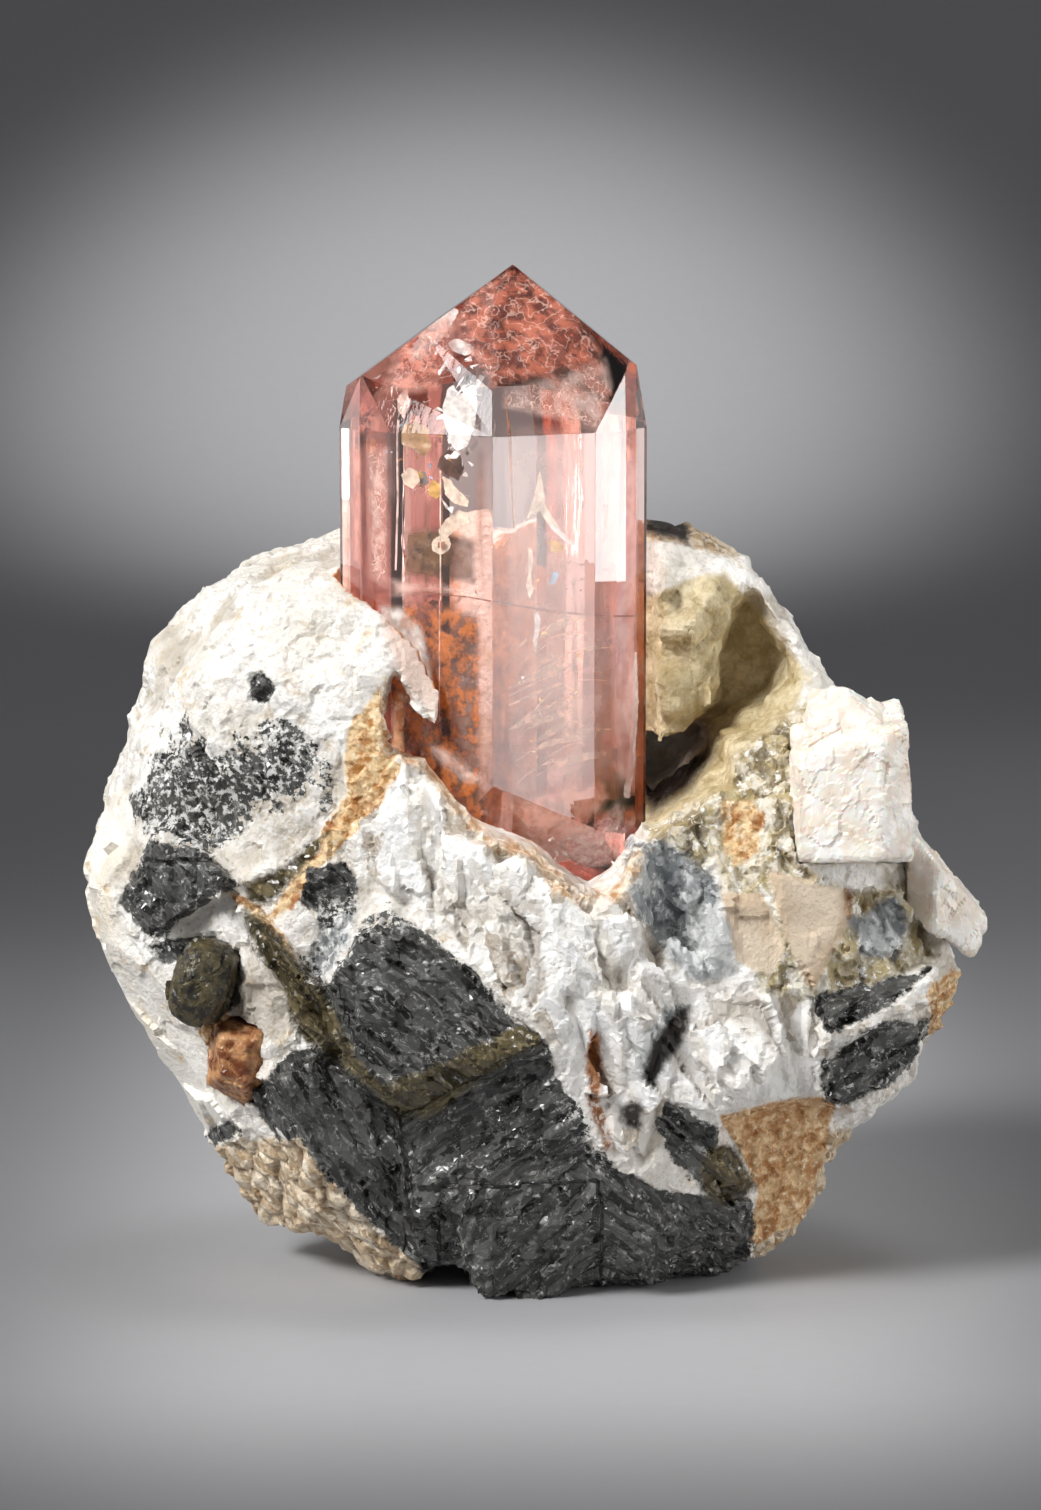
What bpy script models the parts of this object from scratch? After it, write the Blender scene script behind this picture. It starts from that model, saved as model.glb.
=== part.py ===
"""Topaz on matrix: a pink topaz prism standing in a broken lump of white quartz and black mica.

Z is up, X runs to the right and Y away from the side that is shown. The rock rests on the flats of its
underside at Z = 0. Lengths are millimetres until a mesh is made, and metres from there on.
"""

import math

import bmesh
import bpy
import numpy as np
from mathutils import Vector, noise

MM = 0.001
GAP = 0.3  # between a crystal and the pocket that it sits in

# The rock
ROCK_CENTRE = (0.5, 25.0)  # X and Z that its outline is measured from
RIM_Y, RIM_LEAN = -3.0, 0.16  # the outline's depth at the floor, and how far it leans back per unit of height
FRONT_DEPTH, BACK_DEPTH = 17.0, 16.9
ROUNDNESS = 0.8  # below 1 makes the front and the back flatter and the rim blunter
OUTLINE_SMOOTHING = 24  # degrees to each side over which the outline is smoothed away from the rim
RIM_SHARPNESS = 6  # how soon the exact outline gives way to the smoothed one, away from the rim
FRONT_SHARE, BACK_SHARE = (0.03, 0.2), (0.1, 0.35)  # where the front's and the back's own shapes fade in
ROCK_DIVISIONS = 8
ROCK_TRIANGLES = 7200

# The topaz
TOPAZ_AXIS = (-2.6, -4.0)
TOPAZ_HALF_DEPTH = 8.0
PRISM_TOP, TOPAZ_TIP, TOPAZ_FOOT = 56.3, 67.0, 24.0
TIP_OFFSET = (1.3, 0.3)  # of the tip from the axis

# The outline of the rock, clockwise from the left of the topaz, as (X, Z)
ROCK_OUTLINE = (
    (-7.5, 48.5), (-13, 48.5), (-17, 47.5), (-20, 46.5), (-22, 45), (-24.5, 42.5), (-26, 38.5),
    (-27.5, 36), (-28, 33), (-29, 29), (-30, 25), (-30.5, 21), (-29.5, 17.5), (-26.5, 13.5),
    (-24, 9.5), (-22, 7), (-21.5, 4), (-20, 3), (-18, 2.5), (-15.5, 3), (-13.5, 2.5), (-11.5, 1),
    (-8.5, -0.7), (-6.5, 0.3), (-5.5, 1.2), (-4, -0.5), (-1.5, -2), (1, -1.5), (4.5, -0.3), (8, -1),
    (12, -0.6), (14.5, 0.8), (16.5, 2), (18.5, 3.5), (19.5, 7), (22, 9.5), (25, 12.5), (27.5, 16),
    (29, 19.5), (28.5, 22.5), (27.5, 25), (26, 29), (24.5, 32), (22.5, 35.5), (20.5, 38), (19, 41),
    (17, 44.5), (14.5, 47), (11.5, 48.5), (7.5, 49.5), (2, 49.5),
)


def mm_vector(values):
    return Vector(values) * MM


def direction(azimuth, slope):
    """The outward normal of a face. Azimuth 0 faces the front and 90 the right; slope 90 is upright."""
    a, s = math.radians(azimuth), math.radians(slope)
    return Vector((math.sin(a) * math.sin(s), -math.cos(a) * math.sin(s), math.cos(s)))


def smooth_step(value, low, high):
    t = np.clip((value - low) / (high - low), 0.0, 1.0)
    return t * t * (3.0 - 2.0 * t)


def depth_inside(x, z, outline):
    """How far each point is inside a closed outline, negative outside it."""
    nearest = np.full(x.shape, np.inf)
    inside = np.zeros(x.shape, bool)
    for (ax, az), (bx, bz) in zip(outline, outline[1:] + outline[:1]):
        ex, ez = bx - ax, bz - az
        along = np.clip(((x - ax) * ex + (z - az) * ez) / (ex * ex + ez * ez), 0.0, 1.0)
        nearest = np.minimum(nearest, np.hypot(x - ax - along * ex, z - az - along * ez))
        crosses = (az > z) != (bz > z)
        reach = ax + (z - az) * ex / (ez if ez else 1e-9)
        inside ^= crosses & (x < reach)
    return np.where(inside, nearest, -nearest)


def noise_at(points, size, seed):
    """Smooth noise of about -1 to 1, with lumps of the given size."""
    shift = Vector(NOISE_SHIFT) * seed
    return np.array([noise.noise(Vector(p) / size + shift) for p in points]) * NOISE_GAIN


NOISE_SHIFT, NOISE_GAIN = (17.3, -9.1, 5.7), 1.6


# What follows shapes the rock


def outline_radius(angle):
    """The outline's distance from the rock's centre at each angle, exact and smoothed."""
    points = np.array(ROCK_OUTLINE) - ROCK_CENTRE
    at = np.arctan2(points[:, 1], points[:, 0])
    radius = np.hypot(points[:, 0], points[:, 1])
    order = np.argsort(at)
    at, radius = at[order], radius[order]
    exact = np.interp(angle, at, radius, period=2 * math.pi)
    spread = np.radians(np.linspace(-OUTLINE_SMOOTHING, OUTLINE_SMOOTHING, 13))
    smoothed = np.mean([np.interp(angle + s, at, radius, period=2 * math.pi) for s in spread], axis=0)
    return exact, smoothed


def round_form(ball):
    """Lays the points of a unit ball out as the rock's rounded form."""
    across, away, up = ball.T
    exact, smoothed = outline_radius(np.arctan2(up, across))
    to_rim = np.hypot(across, up)
    radius = smoothed + (exact - smoothed) * to_rim**RIM_SHARPNESS
    x = ROCK_CENTRE[0] + radius * across
    z = ROCK_CENTRE[1] + radius * up
    depth = np.where(away < 0, -FRONT_DEPTH, BACK_DEPTH)
    y = RIM_Y + RIM_LEAN * z + depth * np.abs(away) ** ROUNDNESS
    return np.stack([x, y, z], axis=1)


# Broad swells and hollows of the front: name, X, Z, reach, how far it comes forward
SWELLS = (
    ("white brow below the topaz", 2.0, 24.0, 9.0, 1.6),
    ("shoulder over the topaz's left side", -10.5, 42.5, 3.5, 2.0),
    ("left dome", -20.0, 40.0, 7.0, 1.6),
    ("dip between the dome and the mica", -19.0, 32.0, 3.5, -1.0),
    ("foot of the black mica", -3.0, 12.0, 7.0, 2.0),
    ("right shoulder above the grotto", 12.0, 46.0, 4.0, -1.5),
    ("bay right of the grotto", 15.0, 38.0, 4.0, -3.0),
    ("seat of the block crystal", 19.5, 32.0, 5.5, 2.8),
    ("ledge under the block crystal", 19.0, 28.0, 2.5, 1.0),
    ("gully under the block crystal", 13.0, 30.0, 3.0, -1.0),
    ("right mica shelf", 22.0, 16.0, 4.0, 2.0),
    ("crust lump, left", -19.0, 5.5, 2.0, 1.1),
    ("crust lump, middle", -15.5, 6.0, 1.8, 0.9),
    ("crust lump, right", -12.5, 3.5, 1.8, 0.9),
    ("dark lump right of the bottom block", 7.0, 4.5, 3.0, 1.2),
)

# Flats and steps of the front: name, outline, depth at its middle, rise of Y to the right and upwards, and
# the width of its edge
FLATS = (
    (
        "upper black face",
        ((-13.5, 22), (-11.5, 25), (-9, 26.5), (-7, 25), (-4, 22.5), (0.5, 18.5), (-2, 18), (-6, 16),
         (-9.5, 14.5), (-12, 17)),
        -18.4, 0.05, 0.3, 0.5,
    ),
    (
        "olive band under it",
        ((-12, 17), (-9.5, 14.5), (-6, 16), (-2, 18), (0.5, 18), (-1.5, 16.5), (-6.5, 13.5),
         (-8.5, 12.5), (-12, 15)),
        -18.6, 0.05, -0.55, 0.4,
    ),
    (
        "left striated black face",
        ((-17.5, 15), (-14, 17), (-12, 15), (-8.5, 12.5), (-8, 9.5), (-8, 3), (-10, 2.5), (-13, 7.5),
         (-15, 11)),
        -14.6, 0.18, -0.28, 0.5,
    ),
    (
        "right striated black face",
        ((-8.5, 12.5), (-6.5, 13.5), (-1.5, 16.5), (0.5, 17), (3, 12.5), (-2, 8.5), (-7.5, 6)),
        -16.8, -0.22, -0.12, 0.5,
    ),
    (
        "block at the bottom",
        ((-5.5, 7.5), (-4.5, 3), (-2.5, -3), (0.5, -3), (2.5, 2), (3.5, 7), (0, 8.5)),
        -14.6, 0.1, -0.35, 0.5,
    ),
    (
        "left black block",
        ((-24.5, 30.5), (-21.5, 30), (-19, 27.5), (-21.5, 26), (-24, 24), (-26.5, 26.5), (-25.5, 28.5)),
        -13.0, -0.45, 0.1, 0.4,
    ),
    (
        "slanting mica band",
        ((-19, 26.5), (-17.5, 25.5), (-15.5, 23.5), (-13.5, 21), (-12, 16.5), (-15, 18.5), (-16.5, 21),
         (-18, 23.5)),
        -16.6, -0.2, -0.1, 0.4,
    ),
    (
        "pink white face beside the band",
        ((-18.5, 22.5), (-17, 22), (-15, 17.5), (-17.5, 16), (-19.5, 20)),
        -14.6, -0.25, -0.1, 0.4,
    ),
    (
        "striated white face, left of the ridge",
        ((-10.5, 32), (-7.2, 33.5), (-6, 30.5), (-7, 26.5), (-9.4, 27.4)),
        -15.0, -0.05, 0.05, 0.3,
    ),
    (
        "pale block on the ridge",
        ((-5.5, 31), (-2.3, 30.6), (-2.7, 28.3), (-4, 26.7), (-5.8, 28)),
        -16.4, -0.3, 0.12, 0.3,
    ),
    (
        "brown edged block beside it",
        ((-2.4, 29.3), (-0.2, 29), (0.1, 26.1), (-2.1, 26.1)),
        -17.6, 0.35, 0.55, 0.3,
    ),
    (
        "broad pale face below the topaz's foot",
        ((1.1, 27.4), (4.3, 27), (6.2, 24.5), (5.2, 21.6), (2.3, 23.2), (0.9, 25.4)),
        -18.3, 0.35, 0.25, 0.3,
    ),
    (
        "grey diamond",
        ((6.8, 23.2), (10.1, 21.5), (10.1, 19.9), (8.1, 18.3), (6.2, 20.6)),
        -17.3, 0.45, -0.1, 0.3,
    ),
    (
        "white face above the rust streak",
        ((1.7, 21.6), (6.8, 20.6), (7.4, 16.7), (4.9, 14.1), (3, 16.7)),
        -17.6, -0.12, -0.28, 0.3,
    ),
    (
        "bright block on the right",
        ((10.6, 20.6), (15.1, 20.6), (16.3, 16.7), (13.2, 14.5), (10.6, 16.7)),
        -16.8, 0.05, 0.35, 0.3,
    ),
    (
        "left beige block",
        ((12, 26.5), (14.5, 26.5), (16, 23), (15, 21), (12.5, 22.5)),
        -14.6, 0.25, 0.1, 0.4,
    ),
    (
        "right beige block",
        ((15.5, 28.5), (20, 27), (20.5, 25), (18, 20.5), (16, 23.5)),
        -14.2, 0.35, 0.15, 0.4,
    ),
    (
        "grey block",
        ((20.5, 25), (23.5, 26.5), (25, 25), (24, 22.5), (21, 22)),
        -11.4, 0.5, 0.3, 0.4,
    ),
    (
        "right mica face",
        ((18.5, 13.5), (19, 16), (22.5, 18), (26.5, 18.5), (25, 14), (20.5, 11.5)),
        -13.0, 0.75, -0.3, 0.5,
    ),
    (
        "streaked shelf above it",
        ((18.5, 17), (19, 20), (22.5, 20.5), (26.5, 21.5), (26.5, 19), (22.5, 18)),
        -13.8, 0.6, 0.25, 0.5,
    ),
    (
        "tan corner",
        ((11.5, 12), (16, 13), (20.5, 12.5), (20, 8), (18.5, 3), (14, 1), (14.5, 6), (13, 9.5)),
        -10.6, 0.55, -0.35, 0.5,
    ),
    (
        "grey step beside the topaz foot",
        ((7, 30), (8.5, 31), (11, 29), (12, 26.5), (11, 22.5), (8, 24)),
        -13.4, 0.1, 0.25, 0.5,
    ),
)

# Where the rock is open in front of the topaz, down to its foot, with the white shard that overlaps it
TOPAZ_WINDOW = (
    (-13.5, 53), (-12.8, 48), (-10, 47), (-8.5, 45.5), (-7, 44), (-6.3, 42), (-5.7, 39.5), (-6.1, 37),
    (-7.6, 38.2), (-9.1, 40.8), (-9.5, 39), (-9.5, 36), (-7, 35.5), (-5.5, 33.5), (-3.5, 31.5),
    (0, 29.8), (3.5, 26.4), (5, 27.4), (6.5, 29.4), (8.2, 31), (8.2, 53),
)
WINDOW_Y, WINDOW_EDGE = 1.0, 0.3

# The grotto on the topaz's right: its mouth, the dark hole at its foot and the rounded lobe between them
GROTTO_MOUTH = (
    (14, 45.3), (12.6, 43), (11.8, 40.5), (11.6, 38), (9.5, 36), (7.6, 35.5), (7.2, 32), (8, 30.8),
    (10.5, 32.5), (12.5, 33.5), (13, 35.5), (15.5, 37), (16.8, 38.5), (17.6, 40.5), (16.5, 42.5),
    (15, 45),
)
GROTTO_DEPTH_Y, GROTTO_EDGE = 2.5, (-0.4, 1.2)
GROTTO_HOLE = ((7.2, 35.6), (11.5, 36), (12, 34.5), (10, 31.8), (8, 30.8), (7, 31.5))
HOLE_DEPTH_Y, HOLE_EDGE = 8.5, (-0.4, 1.0)
LOBE = (
    (6.5, 43.5), (10, 46), (12.5, 46.3), (13.2, 44.5), (12, 40.5), (11.6, 38.5), (11, 36.5),
    (9, 35.8), (6.5, 37),
)
LOBE_Y, LOBE_BULGE, LOBE_ROUND, LOBE_EDGE = -1.5, 3.2, 2.6, (-0.5, 0.3)
LOBE_PIT = (9.3, 41.0, 1.5, 2.2)  # X, Z, reach and depth

# Broken faces that run over the rim and the back: name, azimuth, slope and distance from the middle
BREAKS = (
    ("left flank", -56, 117, 26.0),
    ("left flank, upper", -70, 96, 29.6),
    ("right flank, low", 58, 118, 25.6),
    ("right, at the crystals", 50, 88, 25.5),
    ("back, left", 214, 84, 20.6),
    ("back, right", 152, 92, 20.2),
    ("back, middle high", 178, 62, 22.6),
    ("back, low", 186, 122, 20.6),
    ("back left, low", 240, 112, 23.2),
    ("back right, low", 128, 116, 22.4),
    ("back left shoulder", 226, 60, 26.2),
    ("back right shoulder", 138, 62, 25.2),
    ("left, behind the rim", 262, 84, 30.0),
    ("right, behind the rim", 102, 88, 27.8),
)
ROCK_MIDDLE = (0.5, 1.0, 25.0)
CHIPS, CHIP_SEED = 22, 11  # small broken faces, spread over the sides and the back
CHIP_AZIMUTH, CHIP_SLOPE = (35, 68), (35, 150)  # azimuth to either side of straight back
CHIP_DEPTH = (0.5, 1.5)
LEDGES, LEDGE_SEED = 38, 5  # blocks that the back broke along, each a little tilted
LEDGE_HEIGHT, LEDGE_TILT = 0.9, 0.14
LEDGE_AREA = ((-28, 3), (28, 48))  # corners of the area of X and Z that the blocks' middles are in


def swell(points, front):
    x, z = points[:, 0], points[:, 2]
    for _, cx, cz, reach, forward in SWELLS:
        points[:, 1] -= front * forward * np.exp(-((x - cx) ** 2 + (z - cz) ** 2) / reach**2)


LUMPS = ((11.0, 0.9, 1), (4.5, 0.45, 2))  # size, height and seed


def roughen(points, outwards):
    """Lumps of two sizes, which the broken faces then cut flat."""
    for size, height, seed in LUMPS:
        points += outwards * (height * noise_at(points, size, seed))[:, None]


def break_off(points):
    """Flattens whatever is outside each broken face on to it."""
    for _, azimuth, slope, distance in BREAKS:
        normal = np.array(direction(azimuth, slope))
        beyond = (points - ROCK_MIDDLE) @ normal - distance
        points -= np.clip(beyond, 0.0, None)[:, None] * normal


def chip(points):
    """Knocks small flats off whatever stands out at the sides and the back."""
    draw = np.random.default_rng(CHIP_SEED)
    for _ in range(CHIPS):
        side = draw.choice((-1.0, 1.0))
        azimuth = 180.0 + side * draw.uniform(*CHIP_AZIMUTH)
        normal = np.array(direction(azimuth, draw.uniform(*CHIP_SLOPE)))
        reach = (points - ROCK_MIDDLE) @ normal
        beyond = reach - (reach.max() - draw.uniform(*CHIP_DEPTH))
        points -= np.clip(beyond, 0.0, None)[:, None] * normal


def step_back(points, back):
    """Splits the back into tilted blocks with low steps between them."""
    draw = np.random.default_rng(LEDGE_SEED)
    middles = draw.uniform(*LEDGE_AREA, (LEDGES, 2))
    lifts = draw.uniform(-LEDGE_HEIGHT, LEDGE_HEIGHT, LEDGES)
    tilts = draw.uniform(-LEDGE_TILT, LEDGE_TILT, (LEDGES, 2))
    away = points[:, None, [0, 2]] - middles
    own = np.argmin((away**2).sum(axis=2), axis=1)
    every = np.arange(len(points))
    lift = lifts[own] + (tilts[own] * away[every, own]).sum(axis=1)
    points[:, 1] += back * lift


def carve_front(points, front):
    """Lays the flats and steps of the front, then opens the topaz's window and the grotto."""
    x, z = points[:, 0].copy(), points[:, 2].copy()
    for _, outline, depth, right, up, edge in FLATS:
        middle = np.mean(outline, axis=0)
        flat = depth + right * (x - middle[0]) + up * (z - middle[1])
        share = front * smooth_step(depth_inside(x, z, outline), -edge, edge)
        points[:, 1] += share * (flat - points[:, 1])
    share = front * smooth_step(depth_inside(x, z, GROTTO_MOUTH), *GROTTO_EDGE)
    points[:, 1] += share * np.clip(GROTTO_DEPTH_Y - points[:, 1], 0.0, None)
    share = front * smooth_step(depth_inside(x, z, GROTTO_HOLE), *HOLE_EDGE)
    points[:, 1] += share * np.clip(HOLE_DEPTH_Y - points[:, 1], 0.0, None)
    into = depth_inside(x, z, LOBE)
    round_y = LOBE_Y - LOBE_BULGE * np.sqrt(np.clip(into / LOBE_ROUND, 0.0, 1.0))
    share = front * smooth_step(into, *LOBE_EDGE)
    points[:, 1] += share * (round_y - points[:, 1])
    px, pz, reach, deep = LOBE_PIT
    points[:, 1] += front * deep * np.exp(-((x - px) ** 2 + (z - pz) ** 2) / reach**2)
    share = front * smooth_step(depth_inside(x, z, TOPAZ_WINDOW), -WINDOW_EDGE, WINDOW_EDGE)
    points[:, 1] += share * np.clip(WINDOW_Y - points[:, 1], 0.0, None)


def rock_mesh():
    """The rock as one closed body, before its pockets and its base are cut."""
    made = bmesh.new()
    bmesh.ops.create_icosphere(made, subdivisions=ROCK_DIVISIONS, radius=1.0)
    ball = np.array([v.co for v in made.verts])
    front = smooth_step(-ball[:, 1], *FRONT_SHARE)
    points = round_form(ball)
    swell(points, front)
    roughen(points, ball)
    break_off(points)
    chip(points)
    step_back(points, smooth_step(ball[:, 1], *BACK_SHARE))
    carve_front(points, front)
    for vertex, point in zip(made.verts, points):
        vertex.co = point * MM
    mesh = bpy.data.meshes.new("matrix")
    made.to_mesh(mesh)
    made.free()
    return mesh


# What follows shapes the crystals, each from the planes of its faces


def convex_solid(planes, reach=60.0):
    """The body inside all planes, each given as its outward normal and a point on it in millimetres."""
    body = bmesh.new()
    bmesh.ops.create_cube(body, size=2 * reach * MM)
    middle = sum((Vector(point) for _, point in planes), Vector()) / len(planes)
    bmesh.ops.translate(body, vec=middle * MM, verts=body.verts)
    for normal, point in planes:
        everything = body.verts[:] + body.edges[:] + body.faces[:]
        bmesh.ops.bisect_plane(
            body, geom=everything, dist=1e-7, plane_co=mm_vector(point), plane_no=normal, clear_outer=True
        )
        rim = [edge for edge in body.edges if edge.is_boundary]
        if rim:
            bmesh.ops.contextual_create(body, geom=rim)
    bmesh.ops.recalc_face_normals(body, faces=body.faces)
    return body


def grown(planes, by):
    """The same planes, each moved outwards."""
    return [(normal, Vector(point) + normal.normalized() * by) for normal, point in planes]


# Prism faces of the topaz: azimuth, distance from the axis as a share of its half depth, and the slope of
# the narrow face above each one
TOPAZ_SIDES = ((28, 0.883, 64), (47, 0.988, 80), (58, 1.072, 82))
# Faces that meet at the tip: azimuth and slope
TOPAZ_ROOF = ((14, 49), (-14, 49), (90, 39), (-90, 36), (166, 49), (-166, 49))
# Broken faces of its lower end: azimuth, slope, and a point on each from the axis and the floor
TOPAZ_END = (
    (40, 135, (9.4, -3.0, 29.0)),
    (12, 122, (3.0, -6.3, 32.0)),
    (-60, 140, (-6.0, -3.0, 28.0)),
    (150, 140, (0.0, 5.0, 27.0)),
)


def topaz_planes():
    axis = Vector((*TOPAZ_AXIS, 0.0))
    planes = []
    for azimuth, share, slope in TOPAZ_SIDES:
        distance = share * TOPAZ_HALF_DEPTH
        for facing in (azimuth, -azimuth, 180 - azimuth, azimuth - 180):
            upright = direction(facing, 90)
            on_edge = axis + upright * distance + Vector((0, 0, PRISM_TOP))
            planes.append((upright, on_edge))
            planes.append((direction(facing, slope), on_edge))
    tip = axis + Vector((*TIP_OFFSET, TOPAZ_TIP))
    planes += [(direction(azimuth, slope), tip) for azimuth, slope in TOPAZ_ROOF]
    planes += [(direction(azimuth, slope), axis + Vector(point)) for azimuth, slope, point in TOPAZ_END]
    planes.append((Vector((0, 0, -1)), axis + Vector((0, 0, TOPAZ_FOOT))))
    return planes


# Block of pale quartz on the right, with the smaller piece grown on top of it: azimuth, slope and a point
BLOCK_FACES = (
    (-8, 80, (20.0, -14.6, 33.0)),
    (52, 85, (22.8, -14.2, 33.0)),
    (92, 88, (24.2, -10.0, 32.0)),
    (-93, 93, (17.1, -12.0, 33.0)),
    (-50, 50, (17.4, -13.0, 35.8)),
    (-60, 16, (20.0, -12.0, 36.7)),
    (10, 172, (20.0, -12.0, 29.0)),
    (180, 90, (20.0, -6.5, 32.0)),
)
BLOCK_CAP_FACES = (
    (-6, 64, (20.4, -11.6, 37.6)),
    (-66, 34, (20.5, -9.5, 39.4)),
    (72, 36, (20.5, -9.5, 39.4)),
    (-95, 84, (17.9, -9.0, 37.0)),
    (84, 80, (22.7, -9.0, 37.4)),
    (150, 30, (20.5, -8.0, 39.3)),
    (180, 90, (20.0, -5.5, 36.0)),
    (0, 180, (20.0, -9.0, 34.0)),
)
# Pale quartz crystal at the far right edge
EDGE_FACES = (
    (36, 84, (26.2, -10.2, 26.5)),
    (-40, 86, (26.2, -10.2, 26.5)),
    (90, 49, (27.2, -6.0, 27.1)),
    (90, 123, (29.5, -6.0, 23.3)),
    (-90, 144, (27.2, -6.0, 23.3)),
    (-90, 90, (24.8, -6.0, 28.0)),
    (180, 90, (26.0, -1.5, 26.0)),
)
# Orange brown crystal low on the left
AMBER_FACES = (
    (-18, 84, (-19.0, -14.6, 16.0)),
    (40, 88, (-18.0, -14.3, 16.0)),
    (-75, 88, (-20.3, -13.5, 16.4)),
    (84, 92, (-17.5, -13.0, 15.6)),
    (0, 20, (-19.2, -13.0, 18.0)),
    (-50, 140, (-19.4, -13.6, 14.4)),
    (50, 140, (-18.4, -13.6, 14.2)),
    (180, 90, (-19.0, -10.5, 16.0)),
)
# Rounded knob of dark mica above it: middle, half sizes and lean in degrees
KNOB_MIDDLE, KNOB_HALF, KNOB_LEAN = (-21.3, -12.6, 21.0), (1.9, 2.6, 2.6), 24.0
KNOB_DIVISIONS, KNOB_BLUNTNESS = 3, 0.75
KNOB_WAVE, KNOB_WAVE_SIZE = 0.14, 0.77  # share of the radius, and of it again


def face_planes(faces):
    return [(direction(azimuth, slope), point) for azimuth, slope, point in faces]


def knob_solid(extra=0.0):
    """A blunt rounded crystal, its points pressed towards the corners of a box."""
    body = bmesh.new()
    bmesh.ops.create_icosphere(body, subdivisions=KNOB_DIVISIONS, radius=1.0)
    lean = math.radians(KNOB_LEAN)
    for vertex in body.verts:
        blunt = [
            math.copysign(abs(c) ** KNOB_BLUNTNESS, c) * (half + extra)
            for c, half in zip(vertex.co, KNOB_HALF)
        ]
        wave = 1.0 + KNOB_WAVE * noise.noise(vertex.co / KNOB_WAVE_SIZE)
        x, y, z = (c * wave for c in blunt)
        turned = Vector((x * math.cos(lean) + z * math.sin(lean), y, z * math.cos(lean) - x * math.sin(lean)))
        vertex.co = (turned + Vector(KNOB_MIDDLE)) * MM
    return body


# What follows makes the objects


def material(name, colour, roughness, transmission=0.0):
    made = bpy.data.materials.new(name)
    made.use_nodes = True
    shader = made.node_tree.nodes["Principled BSDF"]
    shader.inputs["Base Color"].default_value = (*colour, 1.0)
    shader.inputs["Roughness"].default_value = roughness
    shader.inputs["Metallic"].default_value = 0.0
    shader.inputs["Transmission Weight"].default_value = transmission
    return made


def place(name, mesh, finish):
    thing = bpy.data.objects.new(name, mesh)
    bpy.context.scene.collection.objects.link(thing)
    mesh.materials.clear()
    mesh.materials.append(finish)
    return thing


def place_solid(name, body, finish):
    mesh = bpy.data.meshes.new(name)
    body.to_mesh(mesh)
    body.free()
    return place(name, mesh, finish)


def as_cutter(thing):
    thing.hide_render = True
    thing.display_type = "WIRE"
    return thing


def add_boolean(thing, other, operation):
    step = thing.modifiers.new(other.name, "BOOLEAN")
    step.operation = operation
    step.object = other
    step.solver = "EXACT"


def make_matrix(cutters):
    """The rock, thinned to the triangles that its shape needs, with its pockets and its base cut."""
    matrix = place("matrix", rock_mesh(), material("quartz_and_mica", (0.72, 0.68, 0.62), 0.6))
    thin = matrix.modifiers.new("thin", "DECIMATE")
    thin.ratio = ROCK_TRIANGLES / len(matrix.data.polygons)
    for cutter in cutters:
        add_boolean(matrix, cutter, "DIFFERENCE")
    return matrix


FLOOR_WIDTH, FLOOR_THICKNESS = 100.0, 20.0


def floor_cutter():
    """A slab with its top at Z = 0."""
    body = bmesh.new()
    bmesh.ops.create_cube(body, size=1.0)
    bmesh.ops.scale(body, vec=mm_vector((FLOOR_WIDTH, FLOOR_WIDTH, FLOOR_THICKNESS)), verts=body.verts)
    bmesh.ops.translate(body, vec=mm_vector((0.0, 0.0, -FLOOR_THICKNESS / 2)), verts=body.verts)
    return body


def main():
    for thing in list(bpy.data.objects):
        bpy.data.objects.remove(thing, do_unlink=True)
    pale = material("pale_quartz", (0.82, 0.76, 0.68), 0.25, 0.3)
    hollow = material("hollow", (0.5, 0.5, 0.5), 1.0)

    topaz = topaz_planes()
    block, cap, edge, amber = map(face_planes, (BLOCK_FACES, BLOCK_CAP_FACES, EDGE_FACES, AMBER_FACES))
    place_solid("topaz_crystal", convex_solid(topaz), material("topaz", (0.72, 0.32, 0.24), 0.03, 0.95))
    block_crystal = place_solid("quartz_block_crystal", convex_solid(block), pale)
    cap_piece = as_cutter(place_solid("cap_of_block", convex_solid(cap), pale))
    add_boolean(block_crystal, cap_piece, "UNION")
    place_solid("quartz_edge_crystal", convex_solid(edge), pale)
    place_solid("amber_crystal", convex_solid(amber), material("amber_quartz", (0.42, 0.18, 0.06), 0.35, 0.2))
    place_solid("mica_knob", knob_solid(), material("dark_mica", (0.05, 0.045, 0.03), 0.35))

    pockets = {"topaz": topaz, "block": block, "cap": cap, "edge": edge, "amber": amber}
    cutters = [
        as_cutter(place_solid(f"{name}_pocket", convex_solid(grown(planes, GAP)), hollow))
        for name, planes in pockets.items()
    ]
    cutters.append(as_cutter(place_solid("knob_pocket", knob_solid(GAP), hollow)))
    cutters.append(as_cutter(place_solid("floor", floor_cutter(), hollow)))
    make_matrix(cutters)


main()
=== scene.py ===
"""The looks of a pink topaz prism standing in a broken lump of quartz and mica.

Places on the rock are outlined as they show from the front, in pixels of a 1041 by 1510 view, and laid on
its surface through the camera. Lengths are millimetres in the shaping of surfaces and metres in the scene.
"""

import math

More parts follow.
